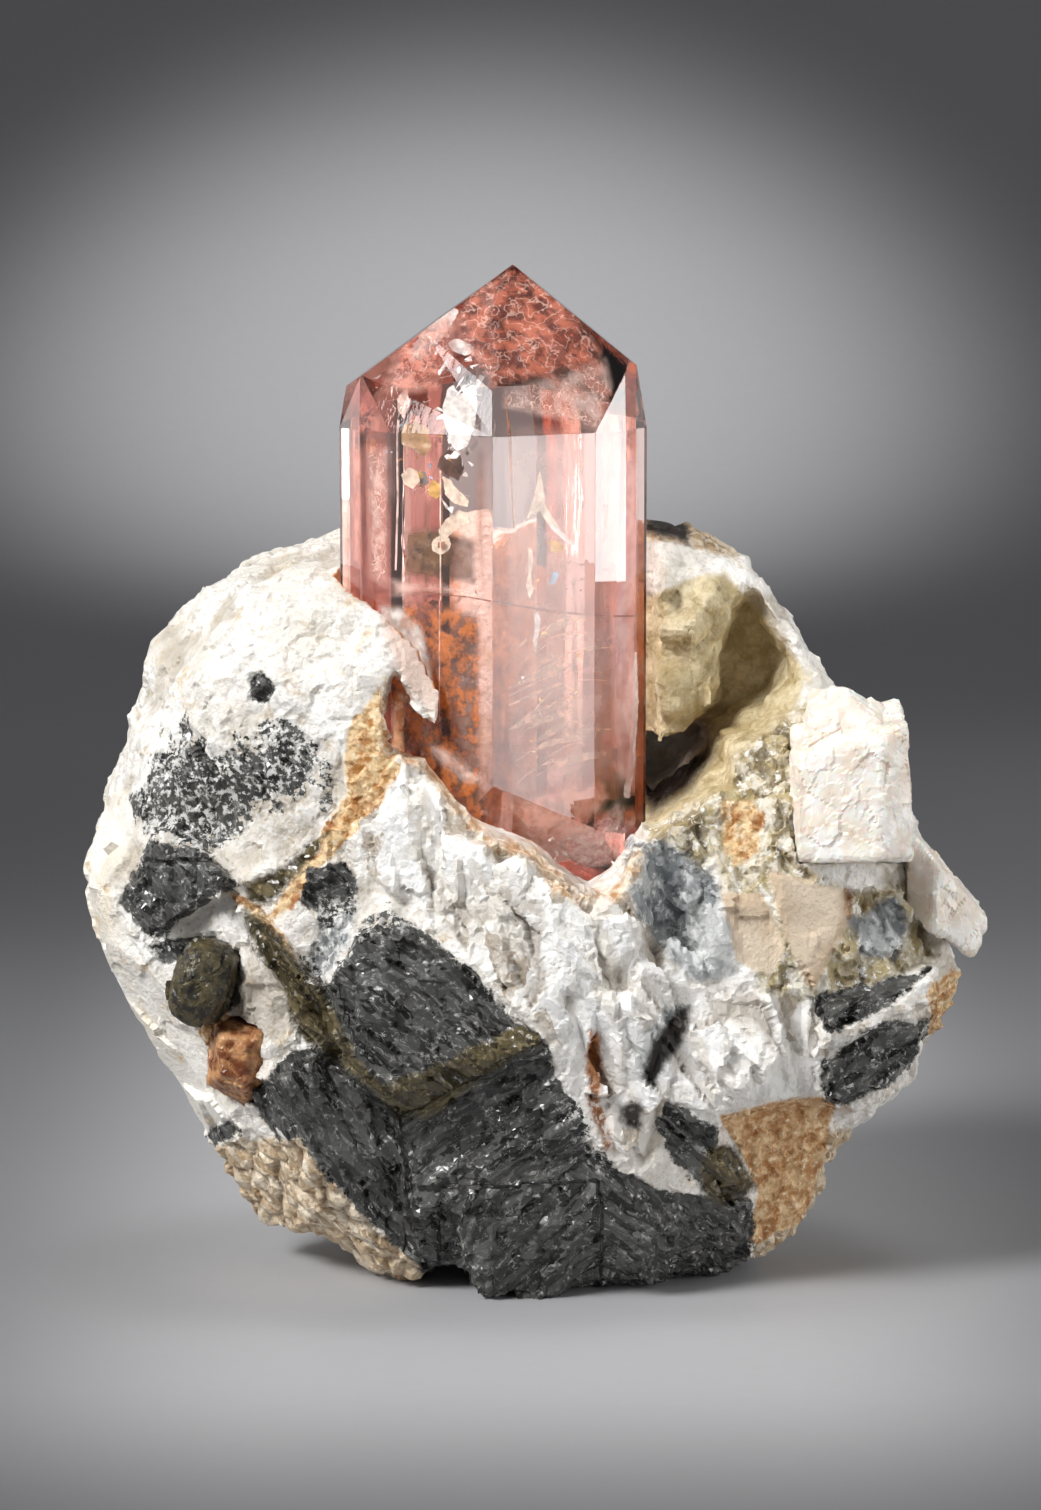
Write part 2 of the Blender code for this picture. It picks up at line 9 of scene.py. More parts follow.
import bmesh
import bpy
import numpy as np
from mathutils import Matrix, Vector


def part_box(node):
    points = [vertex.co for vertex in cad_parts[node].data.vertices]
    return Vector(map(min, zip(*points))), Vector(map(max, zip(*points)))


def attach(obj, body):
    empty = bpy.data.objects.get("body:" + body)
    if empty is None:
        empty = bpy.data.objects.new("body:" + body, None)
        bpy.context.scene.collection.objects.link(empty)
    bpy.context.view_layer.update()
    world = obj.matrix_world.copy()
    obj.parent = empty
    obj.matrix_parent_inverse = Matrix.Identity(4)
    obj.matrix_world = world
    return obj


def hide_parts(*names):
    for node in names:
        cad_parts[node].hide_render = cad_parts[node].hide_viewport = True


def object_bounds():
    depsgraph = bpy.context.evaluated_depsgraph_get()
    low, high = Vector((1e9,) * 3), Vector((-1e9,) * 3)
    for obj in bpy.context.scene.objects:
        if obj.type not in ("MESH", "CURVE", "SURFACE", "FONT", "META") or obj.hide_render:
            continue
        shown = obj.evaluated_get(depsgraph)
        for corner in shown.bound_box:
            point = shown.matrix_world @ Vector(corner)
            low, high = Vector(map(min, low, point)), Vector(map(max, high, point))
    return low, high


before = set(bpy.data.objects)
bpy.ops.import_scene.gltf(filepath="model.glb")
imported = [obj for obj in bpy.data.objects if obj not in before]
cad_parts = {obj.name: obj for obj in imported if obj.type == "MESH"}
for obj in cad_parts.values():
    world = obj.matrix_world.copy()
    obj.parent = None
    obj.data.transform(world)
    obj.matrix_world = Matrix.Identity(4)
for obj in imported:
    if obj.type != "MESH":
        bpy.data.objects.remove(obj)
cad_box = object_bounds()

MM = 0.001
VIEW_SIZE = (1041, 1510)  # pixels
PIXEL = 0.0663  # millimetres of the rock's face that one pixel covers

# The camera stands a little above the middle of the specimen and looks slightly down on it
CAMERA_TARGET = (-0.8, -4.0, 34.6)
CAMERA_DISTANCE, CAMERA_ELEVATION = 320.0, 8.0
CAMERA_LENS, CAMERA_SENSOR, CAMERA_NEAREST = 115.0, 36.0, 10.0


# Helpers for points, all in millimetres


def view_pixels(points):
    """Where each point shows in the view, as pixel columns and rows."""
    lift = math.radians(CAMERA_ELEVATION)
    x, y, z = (points - CAMERA_TARGET).T
    depth = CAMERA_DISTANCE + y * math.cos(lift) - z * math.sin(lift)
    up = z * math.cos(lift) + y * math.sin(lift)
    zoom = CAMERA_LENS / CAMERA_SENSOR * VIEW_SIZE[1]
    return VIEW_SIZE[0] / 2 + zoom * x / depth, VIEW_SIZE[1] / 2 - zoom * up / depth


def facing_way(azimuth, slope):
    """The way that a plane faces. Azimuth 0 is the front, 90 the right; slope 90 is upright, 0 level."""
    a, t = math.radians(azimuth), math.radians(slope)
    return np.array((math.sin(a) * math.sin(t), -math.cos(a) * math.sin(t), math.cos(t)))


def seen_on(pixels, point, azimuth, slope):
    """Where the lines of sight through pixels meet a plane through a point."""
    lift, normal = math.radians(CAMERA_ELEVATION), facing_way(azimuth, slope)
    zoom = CAMERA_LENS / CAMERA_SENSOR * VIEW_SIZE[1]
    column, row = np.array(pixels, float).T
    right, up = (column - VIEW_SIZE[0] / 2) / zoom, (VIEW_SIZE[1] / 2 - row) / zoom
    ray = np.stack(
        [right, math.cos(lift) + up * math.sin(lift), up * math.cos(lift) - math.sin(lift)], axis=1
    )
    eye = np.array(CAMERA_TARGET) + CAMERA_DISTANCE * np.array((0.0, -math.cos(lift), math.sin(lift)))
    return eye + ray * (((np.array(point) - eye) @ normal) / (ray @ normal))[:, None]


def smooth_step(value, low, high):
    t = np.clip((value - low) / (high - low), 0.0, 1.0)
    return t * t * (3.0 - 2.0 * t)


def depth_inside(x, z, outline):
    """How far each point is inside a closed outline, negative outside it."""
    nearest = np.full(x.shape, np.inf)
    inside = np.zeros(x.shape, bool)
    for (ax, az), (bx, bz) in zip(outline, outline[1:] + outline[:1]):
        ex, ez = bx - ax, bz - az
        along = np.clip(((x - ax) * ex + (z - az) * ez) / (ex * ex + ez * ez), 0.0, 1.0)
        nearest = np.minimum(nearest, np.hypot(x - ax - along * ex, z - az - along * ez))
        crosses = (az > z) != (bz > z)
        reach = ax + (z - az) * ex / (ez if ez else 1e-9)
        inside ^= crosses & (x < reach)
    return np.where(inside, nearest, -nearest)


def dice(cells, seed, count):
    """Numbers of 0 to 1 for each whole numbered cell, the same each time."""
    key = cells.astype(np.int64) @ np.array((73856093, 19349663, 83492791)) + seed * 374761393
    numbers = []
    for turn in range(count):
        key = (key * 1664525 + 1013904223 + turn) & 0xFFFFFFFF
        key ^= key >> 16
        key = (key * 2246822519) & 0xFFFFFFFF
        key ^= key >> 13
        numbers.append(key / 2.0**32)
    return np.stack(numbers, axis=1)


def waves(points, size, seed):
    """Smooth noise of -1 to 1 with lumps of the given size."""
    q = points / size
    base = np.floor(q)
    part = q - base
    part = part * part * (3.0 - 2.0 * part)
    total = np.zeros(len(points))
    for corner in np.ndindex(2, 2, 2):
        share = np.prod(np.where(corner, part, 1.0 - part), axis=1)
        total += share * dice(base + corner, seed, 1)[:, 0]
    return total * 2.0 - 1.0


def cloud(points, size, seed):
    """Waves with finer and lower ones on them."""
    return sum(waves(points, size / 2**i, seed + i) / 2**i for i in range(3))


def blocks(points, size, seed):
    """The random block that each point is in: the point's offset from its middle, three numbers of the
    block's own, and how far the point is from the next block."""
    q = points / size
    base = np.floor(q)
    first = np.full(len(q), np.inf)
    second = first.copy()
    away = np.zeros((len(q), 3))
    own = np.zeros((len(q), 3))
    for offset in np.ndindex(3, 3, 3):
        cell = base + offset - 1
        drawn = dice(cell, seed, 6)
        apart = q - cell - 0.1 - 0.8 * drawn[:, :3]
        distance = np.sqrt((apart**2).sum(axis=1))
        closer = distance < first
        second = np.where(closer, first, np.minimum(second, distance))
        first = np.where(closer, distance, first)
        away[closer] = apart[closer]
        own[closer] = drawn[closer, 3:]
    return away * size, own, (second - first) * size


def facets(points, size, seed, tilt, lift):
    """Height of a surface that broke along random blocks, each tilted and lifted by itself."""
    away, own, _ = blocks(points, size, seed)
    return tilt * (away * (own * 2.0 - 1.0)).sum(axis=1) + lift * (own[:, 0] - 0.5)


def stretched(points, along, ratio):
    """The points with distances along a direction shortened, which draws out what is laid on them."""
    axis = np.array(Vector(along).normalized())
    return points - np.outer(points @ axis, axis) * (1.0 - 1.0 / ratio)


# Outlines of the minerals, as they show in the view

MINERALS = {
    "black": (
        ((183, 718), (205, 740), (215, 762), (250, 745), (262, 735), (285, 722), (315, 750), (328, 790),
         (318, 800), (290, 790), (262, 812), (235, 838), (190, 848), (145, 830), (131, 800), (150, 775),
         (172, 752)),
        ((248, 680), (262, 672), (275, 690), (268, 702), (247, 698)),
        ((150, 838), (200, 848), (225, 870), (240, 885), (200, 905), (165, 935), (150, 940), (119, 903),
         (137, 870)),
        ((147, 945), (200, 935), (215, 948), (165, 965)),
        ((305, 868), (345, 862), (358, 880), (350, 905), (325, 918), (303, 905)),
        ((355, 935), (388, 912), (425, 935), (470, 970), (500, 1005), (540, 1035), (560, 1080),
         (580, 1120), (605, 1160), (650, 1186), (700, 1195), (755, 1200), (752, 1250), (720, 1330),
         (500, 1340), (430, 1280), (400, 1252), (330, 1180), (300, 1135), (262, 1085), (290, 1052),
         (318, 1046), (345, 1060), (318, 1000), (300, 960), (325, 985), (345, 965)),
        ((244, 1092), (262, 1080), (300, 1130), (290, 1145), (262, 1120)),
        ((206, 1136), (230, 1118), (244, 1132), (215, 1146)),
        ((665, 1100), (700, 1118), (720, 1130), (700, 1182), (675, 1165), (655, 1120)),
        ((820, 1062), (880, 1025), (930, 1018), (907, 1072), (845, 1107), (822, 1100)),
        ((812, 998), (880, 980), (930, 970), (895, 1002), (830, 1034), (812, 1015)),
    ),
    "olive": (
        ((240, 905), (262, 918), (290, 950), (320, 985), (352, 1050), (385, 1088), (440, 1065),
         (520, 1022), (545, 1040), (480, 1078), (435, 1118), (400, 1118), (345, 1068), (300, 1035),
         (280, 990), (255, 950)),
        ((245, 885), (285, 868), (315, 838), (330, 832), (300, 872), (272, 905), (250, 900)),
        ((705, 1150), (738, 1145), (757, 1190), (720, 1207), (700, 1190)),
        ((185, 980), (198, 955), (215, 950), (238, 985), (215, 1018), (190, 1000)),
    ),
    "gold": (
        ((382, 685), (388, 745), (404, 765), (385, 795), (350, 838), (318, 872), (290, 908), (276, 918),
         (266, 918), (290, 880), (312, 845), (330, 820), (346, 790), (343, 755), (350, 722)),
        ((222, 890), (250, 900), (272, 920), (300, 962), (296, 970), (268, 932), (245, 910)),
        ((722, 800), (748, 795), (762, 815), (758, 850), (735, 868), (722, 845)),
        ((195, 1026), (226, 1008), (228, 1045), (222, 1052), (205, 1045)),
        ((929, 985), (965, 965), (975, 980), (948, 1022), (930, 1038)),
    ),
    "earth": (
        ((690, 740), (745, 735), (790, 705), (815, 700), (812, 750), (796, 860), (850, 892), (915, 880),
         (935, 960), (880, 985), (800, 1002), (760, 990), (730, 905), (712, 850), (690, 810)),
        ((640, 820), (690, 790), (720, 850), (700, 870), (650, 850)),
    ),
    "tan": (
        ((718, 1115), (780, 1100), (838, 1095), (824, 1160), (802, 1222), (745, 1247), (757, 1190),
         (735, 1145)),
    ),
    "beige": (
        ((768, 870), (845, 890), (850, 922), (812, 992), (785, 937)),
        ((720, 893), (760, 893), (787, 950), (770, 977), (735, 962)),
    ),
    "grey": (
        ((622, 830), (648, 842), (680, 852), (715, 880), (730, 930), (742, 975), (700, 985), (660, 950),
         (630, 900)),
        ((848, 920), (897, 893), (910, 915), (897, 960), (860, 952)),
        ((320, 920), (355, 905), (350, 945), (325, 975), (305, 975)),
        ((640, 1040), (665, 1005), (690, 1010), (668, 1060), (650, 1085), (640, 1070)),
    ),
    "crust": (
        ((195, 1150), (240, 1140), (300, 1135), (332, 1178), (378, 1232), (435, 1252), (430, 1320),
         (180, 1320)),
        ((755, 1245), (790, 1205), (800, 1150), (826, 1130), (860, 1130), (850, 1320), (735, 1320)),
        ((640, 500), (700, 520), (745, 545), (735, 560), (690, 545), (640, 540)),
    ),
    "grotto": (
        ((640, 600), (690, 580), (725, 572), (742, 590), (775, 630), (805, 672), (800, 700), (770, 735),
         (735, 752), (735, 790), (700, 800), (652, 825), (636, 820)),
    ),
    # Painted shade: the deep hole of the grotto, painted near black
    "hole": (
        ((648, 750), (705, 738), (714, 752), (690, 790), (652, 815), (638, 795)),
    ),
    "cream": (
        ((70, 880), (112, 895), (135, 945), (160, 985), (175, 1025), (222, 1050), (240, 1095),
         (215, 1150), (180, 1160), (110, 1100), (55, 980)),
        ((115, 790), (140, 800), (125, 860), (100, 890), (80, 870)),
    ),
    "clear": (
        ((388, 748), (440, 790), (500, 845), (590, 900), (645, 850), (690, 985), (760, 985),
         (815, 1000), (825, 1090), (720, 1105), (700, 1110), (660, 1100), (640, 1170), (600, 1130),
         (575, 1060), (545, 1030), (500, 985), (440, 920), (395, 895), (350, 860), (330, 830)),
    ),
    "frost": (
        ((165, 715), (215, 730), (290, 720), (335, 760), (335, 815), (280, 845), (190, 850), (140, 835),
         (135, 780)),
        ((325, 900), (360, 905), (345, 960), (310, 985), (300, 930)),
        ((375, 890), (420, 905), (400, 930), (350, 935)),
        ((590, 1080), (620, 1120), (600, 1170), (570, 1120)),
    ),
    "milk": (
        ((376, 606), (392, 600), (408, 606), (429, 628), (438, 664), (446, 724), (410, 694),
         (394, 662)),
    ),
    "seam": (
        ((380, 690), (386, 700), (392, 748), (430, 762), (450, 790), (500, 842), (538, 848), (560, 880),
         (588, 896), (618, 886), (636, 850), (646, 852), (624, 898), (588, 908), (556, 892), (532, 858),
         (494, 852), (440, 798), (424, 772), (384, 756)),
    ),
    "rust": (
        ((222, 1040), (250, 1030), (262, 1060), (245, 1092), (230, 1100), (219, 1060)),
        ((590, 1030), (600, 1035), (604, 1080), (600, 1098), (614, 1150), (604, 1150), (588, 1100),
         (585, 1060)),
        ((845, 890), (853, 892), (850, 918), (843, 912)),
    ),
    # Painted shade: dark patches where the rock lies in shadow, not a mineral
    "shade": (
        ((655, 1085), (640, 1078), (655, 1040), (676, 1010), (688, 1008), (688, 1030), (668, 1060)),
        ((625, 1100), (645, 1105), (640, 1132), (622, 1125)),
        ((655, 510), (690, 525), (690, 545), (640, 530)),
    ),
}
REACH = 3.0  # depths inside an outline are kept up to this many millimetres
RIM_FOOT, RIM_LEAN = -3.0, 0.16  # the Y of the rock's widest outline at its foot, and how that moves up it
FRONT_FADE = (-3.0, 0.5)  # how far before the rim the outlines start to show, and show in full

# How much of each mineral shows on the sides and the back, as a depth that patches of noise are added to
HIDDEN_SHARE = {"black": -0.9, "gold": -1.7, "crust": -1.5, "cream": -0.5, "grey": -1.3, "olive": -2.0}
HIDDEN_PATCH, HIDDEN_SPREAD, HIDDEN_SEED = 13.0, 2.2, 40


def rim_depth(points):
    """How far in front of the rock's widest outline each point is."""
    return RIM_FOOT + RIM_LEAN * points[:, 2] - points[:, 1]


def mineral_depths(points):
    """For each mineral, how far each point is inside its outlines, or at the back inside patches of it."""
    column, row = view_pixels(points)
    front = smooth_step(rim_depth(points), *FRONT_FADE)
    depths = {}
    for number, (mineral, outlines) in enumerate(MINERALS.items()):
        seen = np.max([depth_inside(column, row, outline) for outline in outlines], axis=0) * PIXEL
        hidden = -REACH
        if mineral in HIDDEN_SHARE:
            patches = cloud(points, HIDDEN_PATCH, HIDDEN_SEED + number)
            hidden = HIDDEN_SHARE[mineral] + HIDDEN_SPREAD * patches
        depths[mineral] = np.clip(front * seen + (1.0 - front) * hidden, -REACH, REACH)
    return depths


# Surfaces


def fine_copy(node, name, voxel):
    """A closed copy of a CAD node, remeshed with small even faces."""
    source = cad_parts[node]
    piece = bpy.data.objects.new(name, source.data.copy())
    bpy.context.scene.collection.objects.link(piece)
    piece.data.materials.clear()
    remesh = piece.modifiers.new("remesh", "REMESH")
    remesh.mode = "VOXEL"
    remesh.voxel_size = voxel * MM
    remesh.adaptivity = 0.0
    apply_modifiers(piece)
    return piece


def apply_modifiers(piece):
    graph = bpy.context.evaluated_depsgraph_get()
    made = bpy.data.meshes.new_from_object(piece.evaluated_get(graph))
    old = piece.data
    piece.modifiers.clear()
    piece.data = made
    bpy.data.meshes.remove(old)


def thin(piece, triangles):
    """Brings a piece down to this many triangles, where its shape needs them least."""
    count = sum(len(face.vertices) - 2 for face in piece.data.polygons)
    if count > triangles:
        step = piece.modifiers.new("thin", "DECIMATE")
        step.ratio = triangles / count
        apply_modifiers(piece)


def read_points(mesh):
    points = np.empty(len(mesh.vertices) * 3, np.float32)
    mesh.vertices.foreach_get("co", points)
    normals = np.empty(len(mesh.vertices) * 3, np.float32)
    mesh.vertices.foreach_get("normal", normals)
    return points.reshape(-1, 3).astype(float) / MM, normals.reshape(-1, 3).astype(float)


def write_points(mesh, points):
    mesh.vertices.foreach_set("co", (points * MM).astype(np.float32).ravel())
    mesh.update()


def within_box(points):
    """The points, with those past the CAD model's box moved back on to it."""
    low, high = (np.array(corner) / MM for corner in cad_box)
    return np.clip(points, low, high)


def write_attribute(mesh, name, values):
    kind = "FLOAT" if values.ndim == 1 else "FLOAT_VECTOR"
    field = "value" if values.ndim == 1 else "vector"
    attribute = mesh.attributes.new(name, kind, "POINT")
    attribute.data.foreach_set(field, values.astype(np.float32).ravel())


# The directions in which the black mica is drawn out, each within an outline in the view
STRANDS = (
    (((240, 1040), (318, 1050), (400, 1118), (412, 1160), (402, 1260), (300, 1200)), (0.5, 0.1, -0.86)),
    (((400, 1118), (545, 1040), (600, 1150), (520, 1200), (412, 1230)), (0.82, 0.1, 0.57)),
    (((440, 1190), (600, 1180), (600, 1300), (440, 1300)), (0.6, 0.1, 0.8)),
    (((800, 960), (960, 960), (960, 1120), (800, 1120)), (0.9, 0.1, 0.4)),
    (((120, 700), (340, 700), (340, 860), (120, 860)), (0.45, 0.1, -0.9)),
    (((235, 890), (330, 960), (360, 1060), (280, 1040)), (0.6, 0.1, -0.8)),
)
STRAND_ELSEWHERE = (0.75, 0.15, -0.66)
STRAND_DRAW = 0.82  # how much of a distance along a strand is taken away

# The way that the shards of the white quartz run, and how many times longer they are that way
CLEAVAGE, CLEAVAGE_DRAW = (0.35, 0.15, -0.92), 2.8


def strand_direction(points):
    """The direction in which the mica at each point is drawn out."""
    column, row = view_pixels(points)
    along = np.tile(np.array(STRAND_ELSEWHERE), (len(points), 1))
    for outline, direction in STRANDS:
        along[depth_inside(column, row, outline) > 0] = direction
    return along / np.linalg.norm(along, axis=1, keepdims=True)


def strand_points(points):
    """The points with distances along the mica's strands shortened."""
    along = strand_direction(points)
    return points - along * (points * along).sum(axis=1, keepdims=True) * STRAND_DRAW


# The surface that each group of minerals has, each laid over those before it
RELIEF_LAYERS = (
    (("cream",), "plain"), (("clear",), "shards"), (("earth",), "gritty_shards"), (("beige",), "plain"),
    (("grey",), "shards"), (("grotto",), "rounded"), (("crust",), "lumps"), (("gold", "tan"), "gritty"),
    (("black", "olive"), "flaky"),
)
RELIEF_EDGE = (-0.25, 0.25)  # how deep inside its outline a mineral's surface starts and is full


def swellings(gap, height, widest):
    """Rounded swellings that sink to where random blocks meet."""
    return height * np.sqrt(np.clip(gap, 0.0, widest))


def broken_surfaces(points):
    """Heights of each kind of surface. Facets take a size, a seed, a tilt and a lift, clouds a size and a
    seed, and swellings a height and the widest gap."""
    slanting, strands = stretched(points, CLEAVAGE, CLEAVAGE_DRAW), strand_points(points)
    _, own, gap = blocks(points, 1.7, 7)
    _, _, round_gap = blocks(points, 2.6, 9)
    lumps = swellings(gap, 0.62, 1.2) - 0.35 + 0.3 * (own[:, 0] - 0.5) + 0.14 * cloud(points, 0.8, 8)
    shards = facets(slanting, 1.9, 11, 0.50, 0.85) + facets(slanting, 0.7, 12, 0.35, 0.12)
    gritty = facets(points, 1.1, 15, 0.35, 0.16) + 0.12 * cloud(points, 0.9, 16)
    flaky = facets(strands, 0.9, 4, 0.45, 0.30) + facets(points, 2.8, 5, 0.16, 0.36) - 0.12
    sugary = 0.45 * cloud(points, 4.0, 17) + facets(points, 1.6, 2, 0.16, 0.12)
    return {
        "sugary": sugary + 0.14 * cloud(points, 0.9, 3),
        "plain": facets(points, 3.6, 13, 0.14, 0.20) + 0.05 * cloud(points, 1.2, 14),
        "shards": shards,
        "gritty": gritty,
        "gritty_shards": gritty + 0.5 * shards,
        "rounded": swellings(round_gap, 0.36, 2.0) - 0.3 + 0.22 * cloud(points, 1.3, 10),
        "lumps": lumps,
        "flaky": flaky + 0.08 * cloud(strands, 0.5, 6),
    }


def rock_relief(points, depths):
    """Height that the minerals' own surfaces add to the rock's form."""
    surfaces = broken_surfaces(points)
    height = surfaces["sugary"]
    for minerals, surface in RELIEF_LAYERS:
        share = np.max([smooth_step(depths[mineral], *RELIEF_EDGE) for mineral in minerals], axis=0)
        height = height + share * (surfaces[surface] - height)
    return height


topaz_low, topaz_high = (np.array(corner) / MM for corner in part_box("topaz_crystal"))
TOPAZ_MIDDLE = tuple((topaz_low[:2] + topaz_high[:2]) / 2)
TOPAZ_HALF = tuple((topaz_high[:2] - topaz_low[:2]) / 2)
TOPAZ_FOOT = topaz_low[2]
POCKET_MARGIN, POCKET_BULGE = 0.9, 1.35  # how much wider the topaz's pocket is, and how round its sides
POCKET_FLOOR, POCKET_RISE = 0.8, 8.0  # how far below the topaz its pocket starts, and how softly
POCKET_FADE = (-0.02, 0.06)
POCKET_CALM = 0.7  # how much of the relief is taken away at the pocket's wall
POCKET_FACING = (0.1, 0.5)  # how squarely a wall faces the topaz where its stain starts and is full
STAIN_EDGE = (0.0, -4.0)  # the X at which the brown stain of the topaz's pocket starts and is full
ROCK_VOXEL, ROCK_QUICK_FACTOR, ROCK_TRIANGLES = 0.28, 3.0, 196_000


def topaz_nearness(points):
    """1 at the wall of the topaz's pocket, falling to 0 a millimetre from it."""
    across = np.abs(points[:, 0] - TOPAZ_MIDDLE[0]) / (TOPAZ_HALF[0] + POCKET_MARGIN)
    deep = np.abs(points[:, 1] - TOPAZ_MIDDLE[1]) / (TOPAZ_HALF[1] + POCKET_MARGIN)
    risen = (points[:, 2] - TOPAZ_FOOT + POCKET_FLOOR) / POCKET_RISE
    return smooth_step(np.minimum(1.0 - (across**POCKET_BULGE + deep**POCKET_BULGE), risen), *POCKET_FADE)


def make_rock():
    """The lump of rock, with the relief of its minerals and, for its material, where each of them is."""
    rock = fine_copy("matrix", "rock", ROCK_VOXEL * (1.0))
    points, normals = read_points(rock.data)
    calm = 1.0 - POCKET_CALM * topaz_nearness(points)
    relief = rock_relief(points, mineral_depths(points)) * calm
    write_points(rock.data, points + normals * relief[:, None])
    thin(rock, ROCK_TRIANGLES)
    points, normals = read_points(rock.data)
    points = within_box(points)
    write_points(rock.data, points)
    depths = mineral_depths(points)
    for mineral, depth in depths.items():
        write_attribute(rock.data, mineral, depth)
    # The relief's height, which the material also uses to paint shade in its hollows and highlight on its
    # ridges
    write_attribute(rock.data, "relief", rock_relief(points, depths))
    write_attribute(rock.data, "strand", strand_points(points))
    write_attribute(rock.data, "slant", stretched(points, CLEAVAGE, CLEAVAGE_DRAW))
    inwards = np.array(TOPAZ_MIDDLE) - points[:, :2]
    inwards /= np.linalg.norm(inwards, axis=1, keepdims=True)
    facing = smooth_step((inwards * normals[:, :2]).sum(axis=1), *POCKET_FACING)
    stained = smooth_step(points[:, 0], *STAIN_EDGE)
    write_attribute(rock.data, "pocket", topaz_nearness(points) * facing * stained)
    rock.data.materials.append(rock_material())
    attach(rock, "root")
    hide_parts("matrix")


# Shader helpers


def linear(colour):
    """An sRGB colour of 0 to 255 as the linear values that shaders take."""
    c = np.array(colour) / 255.0
    return tuple(np.where(c <= 0.04045, c / 12.92, ((c + 0.055) / 1.055) ** 2.4))


class Shader:
    """Builds one material's nodes, each method giving the socket that the next one takes."""

    def __init__(self, name):
        self.material = bpy.data.materials.new(name)
        self.material.use_nodes = True
        self.tree = self.material.node_tree
        self.surface = self.tree.nodes["Principled BSDF"]
        self.output = self.tree.nodes["Material Output"]

    def node(self, kind, values=(), **settings):
        made = self.tree.nodes.new(kind)
        for key, value in settings.items():
            setattr(made, key, value)
        for key, value in dict(values).items():
            self.feed(made.inputs[key], value)
        return made

    def feed(self, socket, value):
        if isinstance(value, bpy.types.NodeSocket):
            self.tree.links.new(value, socket)
        elif hasattr(socket.default_value, "__len__") and hasattr(value, "__len__"):
            socket.default_value = tuple(value) + (1.0,) * (len(socket.default_value) - len(value))
        else:
            socket.default_value = value

    def set(self, **values):
        for key, value in values.items():
            self.feed(self.surface.inputs[key.replace("_", " ")], value)

    def attribute(self, name, output="Fac"):
        return self.node("ShaderNodeAttribute", attribute_name=name).outputs[output]

    def vector(self, operation, a, b, output="Vector"):
        return self.node("ShaderNodeVectorMath", {0: a, 1: b}, operation=operation).outputs[output]

    def place(self):
        """The point of the surface in millimetres."""
        return self.vector("MULTIPLY", self.node("ShaderNodeTexCoord").outputs["Object"], (1.0 / MM,) * 3)

    def noise(self, where, size, detail=3.0, roughness=0.55):
        values = {"Vector": where, "Scale": 1.0 / size, "Detail": detail, "Roughness": roughness}
        return self.node("ShaderNodeTexNoise", values).outputs["Fac"]

    def noises(self, where, kinds):
        """A noise for each name, of its size, detail and roughness."""
        return {name: self.noise(where, *values) for name, values in kinds.items()}

    def shards(self, where, size):
        """Broken blocks: each one's own three numbers, and a height that tilts it by itself."""
        block = self.node("ShaderNodeTexVoronoi", {"Vector": where, "Scale": 1.0 / size})
        offset = self.vector("SUBTRACT", where, block.outputs["Position"])
        lean = self.vector("SUBTRACT", block.outputs["Color"], (0.5,) * 3)
        own = self.node("ShaderNodeSeparateXYZ", {0: block.outputs["Color"]}).outputs
        return own, self.vector("DOT_PRODUCT", offset, lean, "Value")

    def wind(self, where, size):
        """A random direction at each point, for moving points about."""
        values = {"Vector": where, "Scale": 1.0 / size, "Detail": 2.0}
        return self.vector("SUBTRACT", self.node("ShaderNodeTexNoise", values).outputs["Color"], (0.5,) * 3)

    def moved(self, where, wind, by):
        """The points moved about by a wind, so that what is laid on them has crooked edges."""
        return self.vector("ADD", where, self.vector("MULTIPLY", wind, (2.0 * by,) * 3))

    def sum(self, *terms):
        """The sum of sockets, each given with the number that it is multiplied by."""
        total = None
        for socket, factor in terms:
            part = self.math("MULTIPLY", socket, factor)
            total = part if total is None else self.math("ADD", total, part)
        return total

    def math(self, operation, a, b=0.0):
        return self.node("ShaderNodeMath", {0: a, 1: b}, operation=operation).outputs[0]

    def between(self, value, low, high, to_low=0.0, to_high=1.0):
        values = {"Value": value, "From Min": low, "From Max": high, "To Min": to_low, "To Max": to_high}
        made = self.node("ShaderNodeMapRange", values, interpolation_type="SMOOTHSTEP")
        return made.outputs["Result"]

    def mix(self, share, a, b):
        made = self.node("ShaderNodeMix", {"Factor": share}, data_type="RGBA")
        for key, value in ((6, a), (7, b)):
            self.feed(made.inputs[key], value if isinstance(value, bpy.types.NodeSocket) else linear(value))
        return made.outputs[2]

    def blend(self, share, a, b):
        made = self.node("ShaderNodeMix", {"Factor": share, "A": a, "B": b}, data_type="FLOAT")
        return made.outputs[0]

    def bump(self, height, depth):
        """Bumps of this depth in millimetres."""
        values = {"Height": height, "Distance": depth * MM, "Strength": 1.0}
        return self.node("ShaderNodeBump", values).outputs["Normal"]


def edge_of(s, mineral, rag, raggedness, softness):
    """1 inside a mineral's outline and 0 outside it, with an edge that noise of 0 to 1 makes ragged."""
    away = s.math("MULTIPLY", s.math("SUBTRACT", rag, 0.5), raggedness)
    moved = s.math("ADD", s.attribute(mineral), s.math("MULTIPLY", away, 2.0))
    return s.between(moved, -softness, softness)


def painted(s, textures, paints):
    """A first colour with others laid over it, each as strongly as its texture or its limits say."""
    colour, *others = paints
    for other, texture, *limits in others:
        share = s.between(textures[texture], *limits) if limits else textures[texture]
        colour = s.mix(share, colour, other)
    return colour


